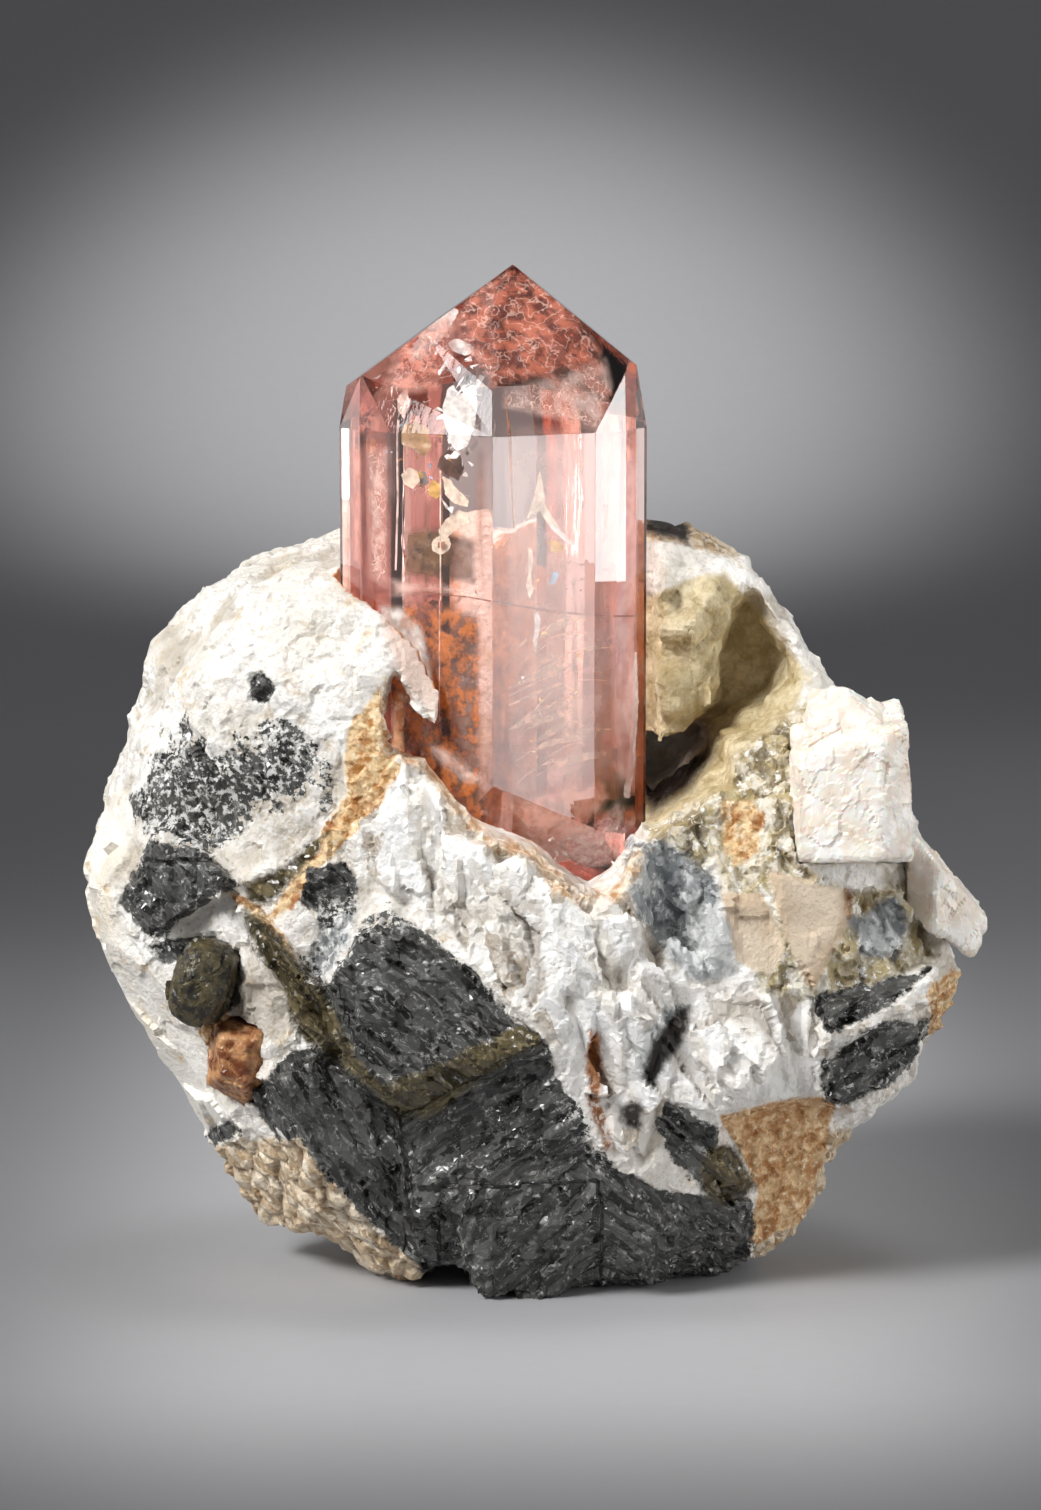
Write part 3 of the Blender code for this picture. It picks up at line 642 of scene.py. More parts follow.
# The rock's material. Each noise has a size in millimetres, a detail and a roughness
ROCK_NOISES = {
    "rag": (1.7, 5.0, 0.72), "fine": (0.45, 4.0, 0.65),
    "broad": (5.0, 2.0, 0.55), "speckle": (0.9, 3.0, 0.7),
}
ROCK_WIND, SHARD_WIND, STRAND_WIND = 1.2, 0.4, 0.3
SHARD_SIZE, PLATE_SIZE, STRAND_LINES = 1.7, 0.55, (0.32, 4.0, 0.8)
LINE_EDGE, FLECK_EDGE, PATCH_EDGE = (0.55, 0.60), (0.60, 0.68), (0.50, 0.62)
PATCH_LINES, PATCH_FLECKS = (0.3, 0.85), (0.35, 0.9)  # how strong they are outside the patches and in them
# Painted shade: darker colours laid in the low hollows of the relief. Painted highlight: paler colours laid
# on its ridges
HOLLOW_SHADE, RIDGE_HIGHLIGHT = ("relief", -0.32, 0.02), ("relief", 0.18, 0.42, 0.0, 0.8)

# Each mineral's first colour, then what is laid over it: a colour, the texture that shows where, the values
# of the texture at which it starts and is full, and how much it covers at each, if not none and all
PAINTS = {
    "sugar": (
        (238, 232, 222), ((252, 249, 244), "broad", 0.35, 0.65), ((222, 202, 170), "rag", 0.54, 0.70),
        ((196, 189, 178), "fine", 0.35, 0.5, 0.5, 0.0), ((178, 164, 142), *HOLLOW_SHADE, 0.6, 0.0),
    ),
    "clear": (
        (234, 228, 218), ((255, 253, 249), "shard_b"), ((190, 178, 162), "shard_c", 0.86, 0.90),
        ((253, 252, 250), "speckle", 0.52, 0.7), ((150, 136, 120), *HOLLOW_SHADE, 0.6, 0.0),
        ((255, 254, 252), *RIDGE_HIGHLIGHT),
    ),
    "grey": (
        (104, 110, 114), ((204, 205, 203), "shard_a"), ((228, 229, 227), "speckle", 0.5, 0.62),
        ((78, 84, 88), *HOLLOW_SHADE, 0.6, 0.0), ((236, 237, 236), *RIDGE_HIGHLIGHT),
    ),
    "cream": ((244, 234, 216), ((252, 248, 240), "broad", 0.35, 0.65), ((226, 200, 160), "rag", 0.54, 0.7)),
    "black": (
        (26, 26, 25), ((94, 94, 91), "plate_a"), ((172, 171, 166), "patchy_lines"),
        ((222, 220, 214), "patchy_flecks"),
    ),
    "olive": (
        (44, 38, 26), ((106, 95, 66), "plate_a"), ((150, 136, 104), "lines", *LINE_EDGE, 0.0, 0.5),
        ((196, 180, 140), "fine", *FLECK_EDGE, 0.0, 0.5),
    ),
    "gold": (
        (182, 124, 60), ((246, 216, 168), "speckle", 0.35, 0.6),
        ((146, 84, 36), "rag", 0.5, 0.66, 0.0, 0.7), ((252, 240, 216), "fine", 0.58, 0.68),
    ),
    "tan": (
        (182, 126, 70), ((240, 206, 158), "speckle", 0.35, 0.65), ((250, 232, 200), "fine", 0.58, 0.68),
    ),
    "beige": ((204, 178, 148), ((232, 214, 190), "broad", 0.3, 0.7)),
    "earth": (
        (186, 168, 122), ((238, 232, 216), "rag", 0.40, 0.60), ((120, 104, 70), *HOLLOW_SHADE, 0.8, 0.0),
        ((244, 241, 233), "speckle", 0.57, 0.63),
    ),
    "crust": (
        (186, 158, 120), ((242, 230, 208), "plate_b"), ((150, 118, 84), "speckle", 0.5, 0.7),
        ((110, 84, 58), *HOLLOW_SHADE, 0.6, 0.0),
    ),
    "grotto": ((178, 158, 114), ((228, 214, 178), "rag", 0.35, 0.65)),
    "rust": ((128, 72, 34), ((194, 134, 80), "fine", 0.3, 0.7)),
    "seam": ((196, 148, 96), ((246, 230, 204), "speckle", 0.4, 0.6)),
    "milk": ((228, 204, 190),),
    # Painted shade: the shade patches and the deep hole are painted dark
    "shade": ((52, 46, 42),),
    "hole": ((24, 11, 5),),
    "pocket": ((170, 96, 48), ((224, 158, 100), "rag", 0.35, 0.65)),
}

# The minerals, with the painted shade of the dark patches and the deep hole, in the order in which they are
# laid over the sugary quartz, with how ragged and how soft the edge of each is. The black mica is more
# ragged where it is frosted over with white grains
LAYERS = {
    "cream": (0.8, 0.6), "clear": (1.2, 0.4), "earth": (1.2, 0.4), "beige": (0.4, 0.15), "grey": (1.0, 0.3),
    "crust": (0.8, 0.3), "grotto": (0.5, 0.3), "tan": (0.6, 0.12), "gold": (1.0, 0.15), "black": (1.0, 0.1),
    "olive": (0.9, 0.3), "rust": (0.7, 0.25), "seam": (1.2, 0.5), "milk": (0.4, 0.6), "shade": (0.6, 0.3),
    "hole": (0.3, 0.6),
}
FROST_EDGE, FROSTED_RAGGEDNESS = (0.6, 0.8), 4.5
FROST_TINT, FROST_GRAINS = (236, 234, 230), (0.50, 0.58, 0.0, 0.85)
POCKET_EDGE = (0.3, 0.9)
QUARTZ_ROUGHNESS, GLASSY_ROUGHNESS, MICA_ROUGHNESS = 0.36, 0.30, (0.12, 0.40)
QUARTZ_BUMPS, MICA_TILT, MICA_STEPS = 0.22, 0.6, 0.10  # millimetres


def rock_textures(s):
    """What the minerals' colours are laid by. Each shard and each plate has three numbers of its own."""
    spot = s.place()
    textures = s.noises(spot, ROCK_NOISES)
    textures["relief"] = s.attribute("relief")
    wind = s.wind(spot, ROCK_WIND)
    strand = s.moved(s.attribute("strand", "Vector"), wind, STRAND_WIND)
    shards, _ = s.shards(s.moved(s.attribute("slant", "Vector"), wind, SHARD_WIND), SHARD_SIZE)
    plates, textures["plate_height"] = s.shards(strand, PLATE_SIZE)
    for kind, numbers in (("shard", shards), ("plate", plates)):
        for letter, number in zip("abc", numbers):
            textures[f"{kind}_{letter}"] = number
    textures["lines"] = s.noise(strand, *STRAND_LINES)
    patches = s.between(textures["rag"], *PATCH_EDGE)
    for name, texture, edge, strengths in (
        ("patchy_lines", "lines", LINE_EDGE, PATCH_LINES),
        ("patchy_flecks", "fine", FLECK_EDGE, PATCH_FLECKS),
    ):
        shown = s.between(textures[texture], *edge)
        textures[name] = s.math("MULTIPLY", shown, s.blend(patches, *strengths))
    return textures


def rock_finish(s, textures, shares):
    """The rock's roughness and the height of its bumps."""
    mica = s.math("MAXIMUM", shares["black"], shares["olive"])
    glassy = s.math("MAXIMUM", shares["clear"], shares["grey"])
    plates = s.sum((textures["plate_height"], MICA_TILT), (textures["plate_b"], MICA_STEPS))
    height = s.blend(mica, s.math("MULTIPLY", textures["fine"], QUARTZ_BUMPS), plates)
    glitter = s.between(textures["plate_c"], 0.0, 1.0, *MICA_ROUGHNESS)
    return s.blend(mica, s.blend(glassy, QUARTZ_ROUGHNESS, GLASSY_ROUGHNESS), glitter), height


def rock_material():
    """The rock: sugary quartz with the other minerals laid over it, each within its ragged outline."""
    s = Shader("broken_rock")
    textures = rock_textures(s)
    rag = textures["rag"]
    frost = edge_of(s, "frost", rag, *FROST_EDGE)
    colour = painted(s, textures, PAINTS["sugar"])
    shares = {}
    for mineral, (raggedness, softness) in LAYERS.items():
        if mineral == "black":
            raggedness = s.blend(frost, raggedness, FROSTED_RAGGEDNESS)
        shares[mineral] = edge_of(s, mineral, rag, raggedness, softness)
        colour = s.mix(shares[mineral], colour, painted(s, textures, PAINTS[mineral]))
    grains = s.math("MULTIPLY", s.between(textures["fine"], *FROST_GRAINS), frost)
    colour = s.mix(grains, colour, FROST_TINT)
    stained = s.between(s.attribute("pocket"), *POCKET_EDGE)
    colour = s.mix(stained, colour, painted(s, textures, PAINTS["pocket"]))
    roughness, height = rock_finish(s, textures, shares)
    s.set(Base_Color=colour, Roughness=roughness, Normal=s.bump(height, 1.0))
    return s.material


# The topaz. Its absorption is a metre, and its growth lines are noise drawn out along Z
TOPAZ_TINT, TOPAZ_DENSITY, TOPAZ_SURFACE, TOPAZ_IOR = (0.96, 0.28, 0.12), 24.0, (1.0, 0.95, 0.93), 1.62
GROWTH_DRAW, GROWTH_NOISE, GROWTH_DEPTH = (1.0, 1.0, 0.04), (0.5, 3.0, 0.5), 0.004
TOPAZ_SMEAR = (0.3, 0.7, 0.0, 0.03)
TOPAZ_WELD, TOPAZ_WEAR, TOPAZ_CORNER = 0.001, 0.08, 4  # millimetres, and degrees for the least corner worn


def topaz_material():
    """Clear pink crystal: plain transmission and absorption, over faint upright growth lines."""
    s = Shader("pink_topaz")
    spot = s.place()
    upright = s.vector("MULTIPLY", spot, GROWTH_DRAW)
    lines = s.bump(s.noise(upright, *GROWTH_NOISE), GROWTH_DEPTH)
    smeared = s.between(s.noise(spot, 1.5, 3.0), *TOPAZ_SMEAR)
    s.set(Base_Color=TOPAZ_SURFACE, Roughness=smeared, IOR=TOPAZ_IOR, Transmission_Weight=1.0, Normal=lines)
    inside = s.node("ShaderNodeVolumeAbsorption", {"Color": TOPAZ_TINT, "Density": TOPAZ_DENSITY})
    s.tree.links.new(inside.outputs["Volume"], s.output.inputs["Volume"])
    return s.material


def dress_topaz():
    """The topaz keeps its CAD node, with slightly worn edges and its own material."""
    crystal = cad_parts["topaz_crystal"]
    weld = crystal.modifiers.new("weld", "WELD")
    weld.merge_threshold = TOPAZ_WELD * MM
    bevel = crystal.modifiers.new("worn_edges", "BEVEL")
    bevel.width = TOPAZ_WEAR * MM
    bevel.segments = 2
    bevel.limit_method = "ANGLE"
    bevel.angle_limit = math.radians(TOPAZ_CORNER)
    crystal.data.materials.clear()
    crystal.data.materials.append(topaz_material())
    crystal.visible_shadow = False


# Looks of the small crystals: their noises, their paints, the size, detail and depth of their bumps, how
# rough they are, and how much light enters them and how many metres deep
CRYSTAL_LOOKS = {
    "pale_quartz": (
        {"broad": (2.2, 4.0, 0.55), "stains": (0.9, 5.0, 0.7)},
        (
            (236, 224, 208), ((252, 248, 241), "broad", 0.35, 0.65),
            ((196, 160, 122), "stains", 0.60, 0.68, 0.0, 0.5),
        ),
        (0.6, 4.0, 0.06), 0.28, (0.25, 0.0015),
    ),
    "amber_quartz": (
        {"broad": (1.0, 4.0, 0.55)},
        ((116, 62, 30), ((212, 160, 112), "broad", 0.35, 0.65)),
        (0.5, 4.0, 0.06), 0.35, (0.2, 0.001),
    ),
    "dark_mica": (
        {"broad": (0.9, 5.0, 0.65), "flecks": (0.3, 4.0, 0.7)},
        (
            (30, 30, 28), ((96, 86, 58), "broad", 0.35, 0.65),
            ((168, 158, 132), "flecks", 0.58, 0.72, 0.0, 0.7),
        ),
        (0.3, 5.0, 0.08), 0.32, (0.0, 0.001),
    ),
}
# For each crystal's node, the piece that dresses it, its look, the size of its faces and how broken it is
CRYSTALS = {
    "quartz_block_crystal": ("block_crystal", "pale_quartz", 0.16, 1.0),
    "quartz_edge_crystal": ("edge_crystal", "pale_quartz", 0.16, 1.0),
    "amber_crystal": ("amber_grain", "amber_quartz", 0.14, 1.0),
    "mica_knob": ("knob", "dark_mica", 0.14, 1.2),
}
GAP_FILL = 0.2  # how far the small crystals' surfaces are taken into the gap between them and the rock


def crystal_material(look):
    noises, paints, (size, detail, depth), roughness, (entering, reach) = CRYSTAL_LOOKS[look]
    s = Shader(look)
    spot = s.place()
    grain = s.bump(s.noise(spot, size, detail), depth)
    s.set(Base_Color=painted(s, s.noises(spot, noises), paints), Roughness=roughness, Normal=grain)
    s.set(Subsurface_Weight=entering, Subsurface_Scale=reach)
    return s.material


def dress_crystal(node, name, finish, voxel, roughness):
    """A detailed stand-in for a small crystal: its own form with chipped and stepped faces."""
    piece = fine_copy(node, name, voxel)
    points, normals = read_points(piece.data)
    height = facets(points, 2.2, 21, 0.10, 0.16) + facets(points, 0.9, 22, 0.10, 0.05)
    height += 0.04 * cloud(points, 0.7, 23)
    write_points(piece.data, within_box(points + normals * (height * roughness + GAP_FILL)[:, None]))
    piece.data.materials.append(finish)
    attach(piece, "root")
    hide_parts(node)


def dress_crystals():
    finishes = {look: crystal_material(look) for look in CRYSTAL_LOOKS}
    for node, (name, look, voxel, roughness) in CRYSTALS.items():
        dress_crystal(node, name, finishes[look], voxel, roughness)


# What is inside the topaz. Its front faces, each with a point on it, its azimuth and its slope
FRONT_EDGE, TIP = (-2.6, -12.0, 40.0), (-1.3, -3.7, 67.0)
TOPAZ_FACES = {
    "left": (FRONT_EDGE, -28.0, 90.0),
    "right": (FRONT_EDGE, 28.0, 90.0),
    "far_left": ((-8.4, -9.4, 40.0), -47.0, 90.0),
    "far_right": ((3.2, -9.4, 40.0), 47.0, 90.0),
    "roof_left": (TIP, -14.0, 49.0),
    "roof_right": (TIP, 14.0, 49.0),
    "shoulder_right": ((-2.6, -12.0, 56.3), 28.0, 64.0),
}

# Looks of the clouded layers: dark and pale colour, size of the mottles, how much they cover, and how
# strong their pale creases are
VEIL_LOOKS = {
    "rose": ((84, 34, 22), (172, 98, 74), 1.3, 0.97, 0.4),
    "thin_rose": ((130, 62, 46), (214, 146, 124), 1.1, 0.6, 0.4),
    "pale_rose": ((214, 168, 152), (246, 218, 208), 0.9, 0.45, 0.8),
    "brown": ((70, 26, 6), (196, 112, 44), 1.0, 1.0, 0.06),
    "umber": ((50, 34, 20), (118, 86, 54), 1.6, 1.0, 0.05),
    "side_salmon": ((186, 104, 84), (226, 146, 122), 1.6, 0.85, 0.1),
    # A painted highlight: the pale pink glow of light along the crack
    "pink_highlight": ((206, 160, 142), (236, 204, 192), 1.5, 0.6, 0.2),
    "salmon": ((192, 110, 86), (236, 172, 148), 1.4, 0.65, 0.2),
    "frosty": ((210, 144, 140), (250, 224, 218), 0.6, 0.8, 0.9),
    "dark_red": ((88, 30, 22), (176, 90, 70), 0.7, 0.9, 0.3),
    "shadow": ((120, 74, 58), (176, 122, 104), 1.8, 0.7, 0.0),
    "haze": ((214, 190, 184), (228, 208, 202), 2.6, 0.36, 0.0),
    "side_pink": ((222, 160, 154), (240, 194, 188), 2.0, 0.7, 0.0),
    "milky": ((224, 206, 196), (248, 240, 232), 0.8, 0.9, 0.3),
    "clouded": ((226, 196, 180), (250, 236, 228), 1.0, 0.5, 0.3),
}
# Clouded layers: the face that each lies behind, how deep in millimetres, its look and its outline in the
# view. The shard lies on the outside, before its face
VEILS = {
    "roof_veil_right": ("roof_right", 0.6, "rose", (
        (508, 266), (540, 282), (575, 308), (612, 346), (606, 358), (560, 372), (486, 394),
        (486, 300))),
    "roof_veil_left": ("roof_left", 0.8, "rose", (
        (516, 266), (510, 298), (508, 390), (478, 380), (460, 348), (454, 318), (474, 290))),
    "roof_veil_far_left": ("roof_left", 1.0, "thin_rose", (
        (474, 292), (456, 322), (464, 350), (440, 392), (408, 396), (372, 386), (404, 340))),
    "shoulder_veil": ("shoulder_right", 0.7, "pale_rose", (
        (499, 388), (560, 370), (606, 356), (614, 388), (600, 436), (550, 424), (497, 412))),
    "dark_patch": ("far_left", 0.8, "dark_red", (
        (359, 400), (382, 398), (383, 436), (372, 440), (359, 434))),
    "side_pane": ("far_left", 0.5, "side_salmon", ((351, 442), (368, 444), (368, 572), (352, 564))),
    "side_pane_pale": ("far_left", 0.7, "pale_rose", ((368, 444), (396, 444), (396, 594), (370, 578))),
    "right_haze": ("right", 3.6, "haze", ((490, 430), (612, 430), (612, 776), (556, 784), (498, 812))),
    "right_pane_pink": ("far_right", 0.5, "side_pink", (
        (618, 444), (640, 446), (638, 790), (610, 790), (606, 620))),
    "edge_shadow": ("left", 1.2, "shadow", (
        (478, 446), (492, 444), (492, 600), (482, 600), (476, 520))),
    "upper_stain": ("left", 2.6, "umber", (
        (410, 528), (440, 522), (488, 536), (488, 586), (440, 582), (408, 576))),
    # Painted highlight: a pale pink band of light along the crack
    "pink_highlight_band": ("left", 1.0, "pink_highlight", (
        (390, 574), (440, 580), (490, 588), (490, 600), (440, 596), (392, 600))),
    "stain": ("left", 1.6, "brown", (
        (392, 600), (440, 598), (490, 602), (490, 836), (470, 812), (440, 782), (404, 746),
        (388, 700))),
    "milky_streak": ("left", 1.2, "clouded", (
        (430, 738), (452, 744), (488, 772), (492, 786), (470, 786), (444, 768), (430, 752))),
    "milky_shard": ("left", -0.35, "milky", (
        (376, 602), (404, 605), (425, 626), (433, 664), (439, 716), (412, 692), (396, 662),
        (378, 636))),
    "end_face": ("right", 1.4, "salmon", (
        (503, 806), (528, 792), (555, 783), (602, 778), (606, 800), (590, 820), (555, 846),
        (528, 836))),
    "rough_foot": ("right", 0.7, "frosty", (
        (556, 846), (592, 820), (618, 796), (632, 808), (632, 850), (610, 878), (590, 886),
        (572, 876))),
}

# Tints of the breaks, the lines and the flakes
TINTS = {
    "white": (255, 252, 248), "cream": (255, 238, 216), "gold": (236, 190, 104), "blue": (170, 204, 236),
    "pink": (250, 214, 202), "ochre": (176, 142, 100), "grey": (150, 150, 150), "brown": (92, 60, 44),
    "russet": (140, 72, 54), "pale_brown": (190, 136, 106),
}
# Flashing breaks, whose pale tints are painted flashes of light reflected off fractures inside the topaz:
# the face that each lies behind, how deep, its tint and its outline in the view
BREAKS = {
    "flash_main": ("left", 1.6, "white", (
        (447, 390), (453, 384), (462, 392), (474, 382), (479, 398), (480, 432), (473, 446), (462, 451),
        (455, 442), (448, 428), (445, 408))),
    "flash_upper": ("roof_left", 1.4, "white", (
        (412, 356), (426, 338), (442, 322), (457, 314), (462, 318), (452, 336), (438, 352),
        (424, 366))),
    "flash_spot": ("roof_left", 1.6, "white", (
        (449, 350), (458, 345), (473, 351), (479, 359), (467, 363), (455, 358))),
    "flash_left": ("left", 1.8, "pink", ((399, 400), (408, 388), (413, 402), (409, 424), (401, 414))),
    "flash_low": ("left", 2.2, "cream", (
        (449, 474), (458, 478), (466, 490), (477, 499), (475, 506), (461, 503), (452, 493))),
    "flash_curl": ("left", 2.0, "cream", (
        (444, 530), (452, 518), (466, 508), (476, 512), (478, 522), (468, 526), (457, 534),
        (450, 540))),
    "bubble": ("left", 1.6, "cream", (
        (439, 538), (446, 534), (454, 537), (457, 544), (453, 551), (445, 554), (438, 550),
        (436, 543))),
    "bubble_heart": ("left", 1.4, "pale_brown", (
        (443, 541), (449, 540), (452, 544), (448, 549), (442, 547))),
    "gold_plate": ("left", 2.4, "ochre", (
        (408, 430), (422, 426), (436, 434), (440, 446), (432, 456), (420, 448), (409, 444))),
    "gold_drop": ("left", 2.0, "gold", (
        (434, 484), (440, 478), (448, 484), (449, 494), (442, 498), (434, 494))),
    "pale_tuft": ("left", 2.2, "cream", (
        (408, 474), (416, 466), (426, 470), (427, 480), (420, 488), (411, 484))),
    "grey_plate": ("left", 2.6, "grey", ((424, 470), (434, 470), (438, 482), (430, 488))),
    "dark_hollow": ("left", 2.8, "brown", (
        (448, 456), (458, 448), (470, 452), (474, 466), (468, 480), (456, 474), (446, 466))),
    "red_hollow": ("left", 2.8, "russet", (
        (412, 396), (420, 388), (432, 394), (436, 410), (430, 426), (418, 420), (411, 410))),
    "flame": ("right", 3.0, "cream", (
        (530, 466), (535, 486), (537, 504), (544, 514), (552, 528), (546, 532), (538, 522), (531, 510),
        (522, 512), (517, 522), (521, 504), (526, 490))),
    "flame_streak": ("right", 2.8, "white", (
        (541, 520), (552, 528), (565, 542), (563, 545), (550, 536), (541, 526))),
    "flame_gold": ("right", 3.2, "gold", ((538, 540), (546, 538), (556, 546), (548, 551), (541, 550))),
    "tail": ("right", 2.6, "cream", (
        (519, 544), (525, 545), (526, 560), (523, 574), (526, 590), (521, 598), (517, 586),
        (520, 566))),
    "tail_low": ("right", 2.8, "white", (
        (524, 610), (530, 608), (533, 618), (530, 634), (527, 652), (523, 640), (526, 624))),
    "blue_flash": ("right", 2.4, "blue", ((540, 582), (546, 570), (553, 570), (552, 577), (545, 584))),
    "brown_break": ("right", 3.4, "pale_brown", (
        (586, 500), (592, 504), (591, 522), (588, 540), (584, 546), (587, 524))),
    "bright_pane": ("far_right", 0.9, "white", (
        (633, 644), (635, 700), (631, 760), (624, 798), (617, 800), (621, 764), (624, 740), (617, 716),
        (618, 696), (626, 668))),
}

# Thin lines: the face that each lies behind, how deep, its tint, its width in pixels and its course
LINES = {
    "crack_left": ("left", 0.25, "russet", 1.8, ((424, 592), (440, 594), (470, 597), (492, 601))),
    "crack_right": ("right", 0.25, "russet", 2.2, (
        (493, 601), (520, 606), (550, 611), (580, 614), (612, 616))),
    "crack_far_right": ("far_right", 0.25, "russet", 2.0, ((612, 616), (640, 616))),
    "needle": ("left", 0.8, "cream", 1.4, ((443, 470), (443, 600))),
    "needle_low": ("left", 0.8, "pink", 1.0, ((442, 600), (442, 720))),
    "growth_line": ("right", 0.6, "pale_brown", 1.6, ((509, 392), (507, 440), (509, 480), (512, 528))),
    "growth_line_left": ("left", 0.4, "pink", 2.0, ((398, 420), (399, 500), (397, 570))),
}

# Clusters of small angular flakes: tint, then for each cluster its face, column and row, its spread across
# and up in pixels, the count of flakes and their size in millimetres
FLAKES = {
    # The white flakes are painted glints of light
    "white": (
        ("left", 462, 372, 14, 16, 30, 0.8), ("left", 466, 420, 12, 22, 24, 0.8),
        ("left", 425, 400, 16, 26, 14, 0.5), ("left", 462, 500, 10, 20, 16, 0.6),
        ("left", 440, 690, 26, 50, 26, 0.22), ("right", 575, 850, 18, 10, 26, 0.5),
        ("right", 514, 690, 6, 30, 8, 0.25),
    ),
    "gold": (
        ("left", 426, 466, 14, 16, 12, 0.4), ("right", 548, 640, 8, 50, 16, 0.3),
        ("right", 575, 660, 6, 60, 16, 0.3), ("right", 522, 730, 6, 40, 12, 0.25),
    ),
    "brown": (
        ("left", 455, 458, 10, 10, 8, 0.6), ("left", 440, 680, 26, 60, 40, 0.35),
        ("right", 556, 480, 34, 40, 9, 0.18), ("left", 432, 612, 8, 6, 8, 0.5),
    ),
    "blue": (
        ("left", 412, 452, 8, 14, 5, 0.5), ("left", 436, 474, 6, 6, 4, 0.4),
    ),
}


def inward(face, depth):
    """A face of the topaz moved inwards, as what seen_on takes."""
    point, azimuth, slope = TOPAZ_FACES[face]
    return np.array(point) - depth * facing_way(azimuth, slope), azimuth, slope


LEAST_DEPTH = 0.12  # of what is inside the topaz, behind its faces
PUSHES = 3  # how often the points are moved inwards, as one face's move can bring them past another


def kept_inside(points):
    """The points, with those outside the topaz moved to just behind its faces."""
    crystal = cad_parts["topaz_crystal"].data
    for _ in range(PUSHES):
        for face in crystal.polygons:
            normal, spot = np.array(face.normal), np.array(face.center) / MM
            beyond = (points - spot) @ normal + LEAST_DEPTH
            points = points - np.clip(beyond, 0.0, None)[:, None] * normal
    return points


def sheet(outline, face, depth, cuts, wave, fade):
    """A thin crumpled layer behind a face of the topaz: its points, its triangles, and for each point a
    number that falls to 0 at its rim."""
    body = bmesh.new()
    body.faces.new([body.verts.new(point) for point in seen_on(outline, *inward(face, depth))])
    bmesh.ops.triangulate(body, faces=body.faces[:])
    for _ in range(cuts):
        bmesh.ops.subdivide_edges(body, edges=body.edges[:], cuts=1, use_grid_fill=True)
        bmesh.ops.triangulate(body, faces=body.faces[:])
    body.normal_update()
    body.verts.index_update()
    points = np.array([v.co for v in body.verts])
    normals = np.array([v.normal for v in body.verts])
    triangles = np.array([[v.index for v in f.verts] for f in body.faces])
    body.free()
    column, row = view_pixels(points)
    solid = smooth_step(depth_inside(column, row, outline) * PIXEL, -0.01, fade)
    points += normals * (wave * cloud(points, 1.6, 51))[:, None]
    return (kept_inside(points) if depth > 0.0 else points), triangles, solid


def inside_piece(name, sheets, finish):
    """One piece of what is inside the topaz, from its sheets."""
    starts = np.cumsum([0] + [len(points) for points, _, _ in sheets])
    faces = [face + start for (_, faces, _), start in zip(sheets, starts) for face in faces]
    points = np.concatenate([points for points, _, _ in sheets])
    mesh = bpy.data.meshes.new(name)
    mesh.from_pydata(points * MM, [], [tuple(int(corner) for corner in face) for face in faces])
    write_attribute(mesh, "fade", np.concatenate([solid for _, _, solid in sheets]))
    mesh.materials.append(finish)
    piece = bpy.data.objects.new(name, mesh)
    bpy.context.scene.collection.objects.link(piece)
    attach(piece, "root")


CREASE_TINT, CREASE_EDGE = (252, 226, 212), 0.035
CREASE_COVER, BREAK_COVER, LINE_COVER, FLAKE_COVER = 0.9, 0.95, 0.9, 1.0
DARKER = 0.8  # how dark the mottles of the breaks, lines and flakes are beside their tint


def veil_material(name, dark, pale, size, cover, creases):
    """A clouded layer that covers part of what is behind it."""
    s = Shader(name)
    spot = s.place()
    mottle = s.noise(spot, size, 5.0, 0.65)
    crooked = s.moved(spot, s.wind(spot, size), 0.4 * size)
    off_middle = s.math("ABSOLUTE", s.math("SUBTRACT", s.noise(crooked, 0.7 * size, 2.0), 0.5))
    crease = s.between(off_middle, 0.0, CREASE_EDGE, creases, 0.0)
    colour = s.mix(s.between(mottle, 0.40, 0.60), dark, pale)
    colour = s.mix(crease, colour, CREASE_TINT)
    thick = s.between(s.noise(spot, 2.0 * size, 3.0), 0.3, 0.6, cover * 0.6, cover)
    thick = s.math("MAXIMUM", thick, s.math("MULTIPLY", crease, CREASE_COVER))
    thick = s.math("MULTIPLY", thick, s.attribute("fade"))
    s.set(Base_Color=colour, Roughness=0.4, Alpha=thick, Normal=s.bump(mottle, 0.15))
    return s.material


def glint_material(name, tint):
    """A break in its tint, which for the pale tints is a painted flash of reflected light, ragged where it
    thins out.
    """
    s = Shader(name)
    spot = s.place()
    mottle = s.between(s.noise(spot, 0.5, 3.0), 0.3, 0.7)
    solid = s.sum((s.noise(spot, 0.7, 4.0, 0.7), 1.0), (s.attribute("fade"), 0.3))
    s.set(Base_Color=s.mix(mottle, tuple(c * DARKER for c in tint), tint), Roughness=0.25)
    s.set(Alpha=s.between(solid, 0.54, 0.62, 0.0, BREAK_COVER))
    return s.material


def line_material(name, tint, cover):
    """A fine line or a flake, a little mottled."""
    s = Shader(name)
    mottle = s.between(s.noise(s.place(), 0.8, 3.0), 0.35, 0.65)
    s.set(Base_Color=s.mix(mottle, tuple(c * DARKER for c in tint), tint), Roughness=0.3)
    s.set(Alpha=s.blend(mottle, 0.6 * cover, cover))
    return s.material


